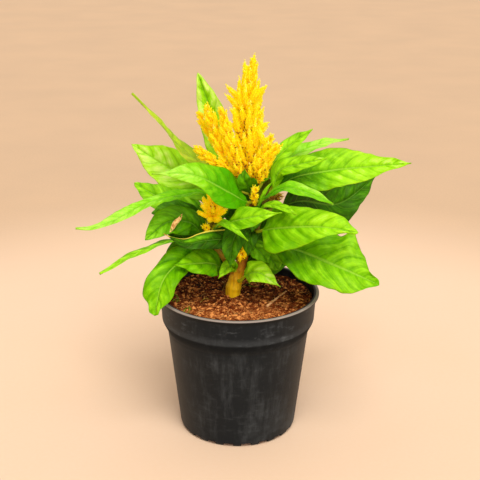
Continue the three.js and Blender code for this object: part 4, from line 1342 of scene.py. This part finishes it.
# One tuft that opens along +Z: pointed bracts, each a closed sliver.
def tuftTemplate(look):
    shape = bmesh.new()
    tipLayer = shape.verts.layers.float.new("tip")
    size = look["bractLength"] * mm
    up = Vector((0, 0, 1))
    for k in range(look["bracts"]):
        a = fullTurn * k / look["bracts"]
        out = Vector((math.cos(a), math.sin(a), 0))
        across = Vector((-math.sin(a), math.cos(a), 0))
        corners = []
        for spot, share in (
            (out * 0.03, 0.0),
            (out * 0.12 + across * 0.2 + up * 0.45, 0.5),
            (out * 0.12 - across * 0.2 + up * 0.45, 0.5),
            (out * 0.24 + up * 0.42, 0.5),
            (out * 0.2 + up, 1.0),
        ):
            corners.append(shape.verts.new(spot * size))
            corners[-1][tipLayer] = share
        for trio in ((0, 1, 2), (0, 2, 3), (0, 3, 1), (4, 2, 1), (4, 3, 2), (4, 1, 3)):
            shape.faces.new([corners[i] for i in trio]).smooth = True
    bmesh.ops.recalc_face_normals(shape, faces=shape.faces)
    mesh = bpy.data.meshes.new("tuftTemplate")
    shape.to_mesh(mesh)
    shape.free()
    return addObject("tuftTemplate", mesh)


def tuftTree():
    tree, graph, wires = newTree("bractCover", {
        "Tuft": "Object", "Spacing": "Float", "Lean": "Float", "Size": "Float", "Seed": "Int",
        "Core Material": "Material", "Material": "Material",
    })
    spread = graph.node("GeometryNodeDistributePointsOnFaces", {"distribute_method": "POISSON"}, {
        "Mesh": wires["Geometry"], "Distance Min": wires["Spacing"], "Density Max": 3.0e6,
        "Seed": wires["Seed"],
    })
    normal = Wire(graph, spread.socket.node.outputs["Normal"])
    aim = graph.node("GeometryNodeInputNamedAttribute", {"data_type": "FLOAT_VECTOR"}, {"Name": "aim"})
    glow = graph.node("GeometryNodeInputNamedAttribute", {"data_type": "FLOAT"}, {"Name": "glow"})
    leaned = graph.vector("SCALE", {0: aim, "Scale": wires["Lean"] + glow * glow * 1.8})
    way = graph.vector("ADD", [normal, leaned])
    facing = graph.node("FunctionNodeAlignRotationToVector", {"axis": "Z"}, {"Vector": way})
    spin = graph.combined(0.0, 0.0, randomValue(graph, 0.0, 6.283, 2))
    turned = graph.node("FunctionNodeRotateRotation", {"rotation_space": "LOCAL"}, [facing, spin])
    shape = graph.node("GeometryNodeObjectInfo", None, {"Object": wires["Tuft"]}, output="Geometry")
    size = wires["Size"] * randomValue(graph, 0.7, 1.2, 5) * (1.1 - glow * 0.35)
    tufts = realAndPainted(graph, spreadOut(graph, spread, shape, turned, size, 7), wires["Material"])
    core = graph.node("GeometryNodeSetMaterial", None, {
        "Geometry": wires["Geometry"], "Material": wires["Core Material"],
    })
    both = graph.node("GeometryNodeJoinGeometry")
    for part in (core, tufts):
        tree.links.new(part.socket, both.socket.node.inputs[0])
    graph.node("NodeGroupOutput", None, {"Geometry": both})
    return tree


def plumePath(plume):
    if "stem" not in plume:
        return Path(plume["route"])
    if "at" in plume:
        start, out = seat(plume["stem"], plume["at"], plume["route"][0])
    else:
        out = plume["stem"]["path"].tangent(1)
        start = plume["stem"]["path"].point(1) + out * gap
    return Path([start, start + out * 1.5, *plume["route"]])


# Adds one closed tapering rod to the cores, and says for each point which way its tufts aim.
def addRod(cores, centres, radii, sides, glows):
    firstIndex = len(cores["points"])
    for i, (centre, radius) in enumerate(zip(centres, radii)):
        tangent = unit(centres[min(i + 1, len(centres) - 1)] - centres[max(i - 1, 0)])
        up, side = sectionAxes(tangent, plumeLook["face"])
        for k in range(sides):
            turn = fullTurn * k / sides
            cores["points"].append(centre + side * radius * math.cos(turn) + up * radius * math.sin(turn))
            cores["aim"].append(tangent)
            cores["glow"].append(glows[i])
    cores["faces"] += ringFaces(len(centres), sides, firstIndex)


def addSpikelet(cores, root, middle, end, thick, taper, glowStart=0.05):
    shares = np.linspace(0, 1, 8)
    centres = [(1 - t) ** 2 * root + 2 * t * (1 - t) * middle + t ** 2 * end for t in shares]
    radii = [thick * min(1.0, 0.55 + 1.2 * t) * (1 - t ** taper) * 0.9 + 0.06 for t in shares]
    addRod(cores, centres, radii, 6, [glowStart + (1 - glowStart) * t ** 0.7 for t in shares])


def plumeCores(number, plume):
    look = plumeLook
    rand = random.Random(number + 5)
    path = plumePath(plume)
    taper = plume.get("round", 2.4)
    cores = {"points": [], "faces": [], "aim": [], "glow": []}
    stops = np.linspace(0, 1, 14)
    axisRadii = [max(listValue(plume["radii"], s) * look["axis"] * (1 - s ** 5), 0.15) for s in stops]
    addRod(cores, [path.point(s) for s in stops], axisRadii, 8, [0.1 + 0.9 * s ** 2 for s in stops])
    count = max(int(path.length / plume.get("gap", look["spikeletGap"])), 5)
    thinnest, thickest = look["spikeletSize"]
    for i in range(count):
        s = 0.02 + 0.94 * (i + 0.5) / count
        reach = listValue(plume["radii"], min(s + 0.06, 1)) * rand.uniform(0.7, 1.0)
        climb = reach * look["lift"] * rand.uniform(0.8, 1.25) + 1.0
        root, tangent = path.point(s), path.tangent(s)
        up, side = sectionAxes(tangent, look["face"])
        turn = i * look["goldenAngle"] + rand.uniform(-0.2, 0.2)
        out = side * math.cos(turn) + up * math.sin(turn)
        over = min(s + climb / path.length, 1.0)
        end = path.point(over) + out * reach + tangent * max(0.0, climb - (over - s) * path.length) * 0.35
        middle = root + out * reach * 0.85 + tangent * climb * 0.35
        addSpikelet(cores, root, middle, end, min(max(0.24 * reach + 0.7, thinnest), thickest), taper)
    for share, tip, thick in plume.get("fingers", []):
        root, tip = path.point(share), np.array(tip, float)
        middle = (root + tip) / 2 + np.array([0.0, 0.0, -0.12]) * np.linalg.norm(tip - root)
        addSpikelet(cores, root, middle, tip, thick, taper, 0.3)
    return cores


def buildPlumes():
    look = plumeLook
    template = tuftTemplate(look)
    tree = tuftTree()
    bracts, spikelets, driedBracts, driedSpikelets = (bractFinish(name) for name in bractLook)
    for number, (name, plume) in enumerate(plumeTable.items()):
        cores = plumeCores(number, plume)
        points, faces = cores.pop("points"), cores.pop("faces")
        dried = name == "bud_dried"
        made = runTree(tree, newMesh(name + "Core", points, faces, cores), {
            "Tuft": template, "Spacing": look["tuftGap"] * mm, "Lean": look["lean"],
            "Size": look["tuftSize"], "Seed": number + 1,
            "Core Material": driedSpikelets if dried else spikelets,
            "Material": driedBracts if dried else bracts,
        })
        addPiece(camel(name), made, [name])
        print("  ", name, len(made.polygons), "faces")
    bpy.data.objects.remove(template)


buildPlumes()
print("plumes built")


# Twigs on the soil, and the roots inside it

twigLook = {
    "twig_long": {"route": [(22, -19, 107.2), (31, -3, 107.7), (38, 11, 107.2)], "radius": 0.95},
    "twig_short": {"route": [(34, 22, 106.8), (43, 19, 106.7), (51, 15, 106.1)], "radius": 0.62},
}
woodLook = {
    # dark and light colour, fineness of the grain
    "dryTwig": ("#c08048", "#ffcc94", 420.0),
    "paleRoot": ("#a88c5c", "#e6d6b0", 260.0),
}


def woodFinish(name):
    dark, light, grainScale = woodLook[name]
    graph, place = newFinish(name)
    grain = graph.noise(place, grainScale, detail=5.0, roughness=0.65)
    fine = graph.noise(place, grainScale * 5, detail=2.0)
    return endFinish(graph, {
        "Base Color": graph.mix(graph.step(grain, 0.35, 0.7), dark, light),
        "Roughness": 0.7 + fine * 0.2, "Normal": graph.bump(grain + fine * 0.5, 0.4, 0.0004),
    })


def buildTwigs():
    finish = woodFinish("dryTwig")
    for name, twig in twigLook.items():
        radius = twig["radius"]

        def shape(s, turn, centre):
            bend = 0.25 * noise.noise(Vector((s * 6, radius * 9, 0)))
            rough = 1 + 0.12 * noise.noise(Vector((s * 20, math.cos(turn), math.sin(turn))))
            r = radius * (1 - 0.35 * s) * (1 + 0.15 * noise.noise(Vector((s * 14, 3, 1)))) * rough
            return math.cos(turn) * r, bend + math.sin(turn) * r

        points, faces = tube(Path(twig["route"]), 30, 10, (0.1, 0.2, 1), shape)
        newPiece(camel(name), points, faces, finish, [name])


buildTwigs()
rootNode = frame["nodes"]["root_system"]
rootNode.data.materials.clear()
rootNode.data.materials.append(woodFinish("paleRoot"))
print("twigs and roots finished")
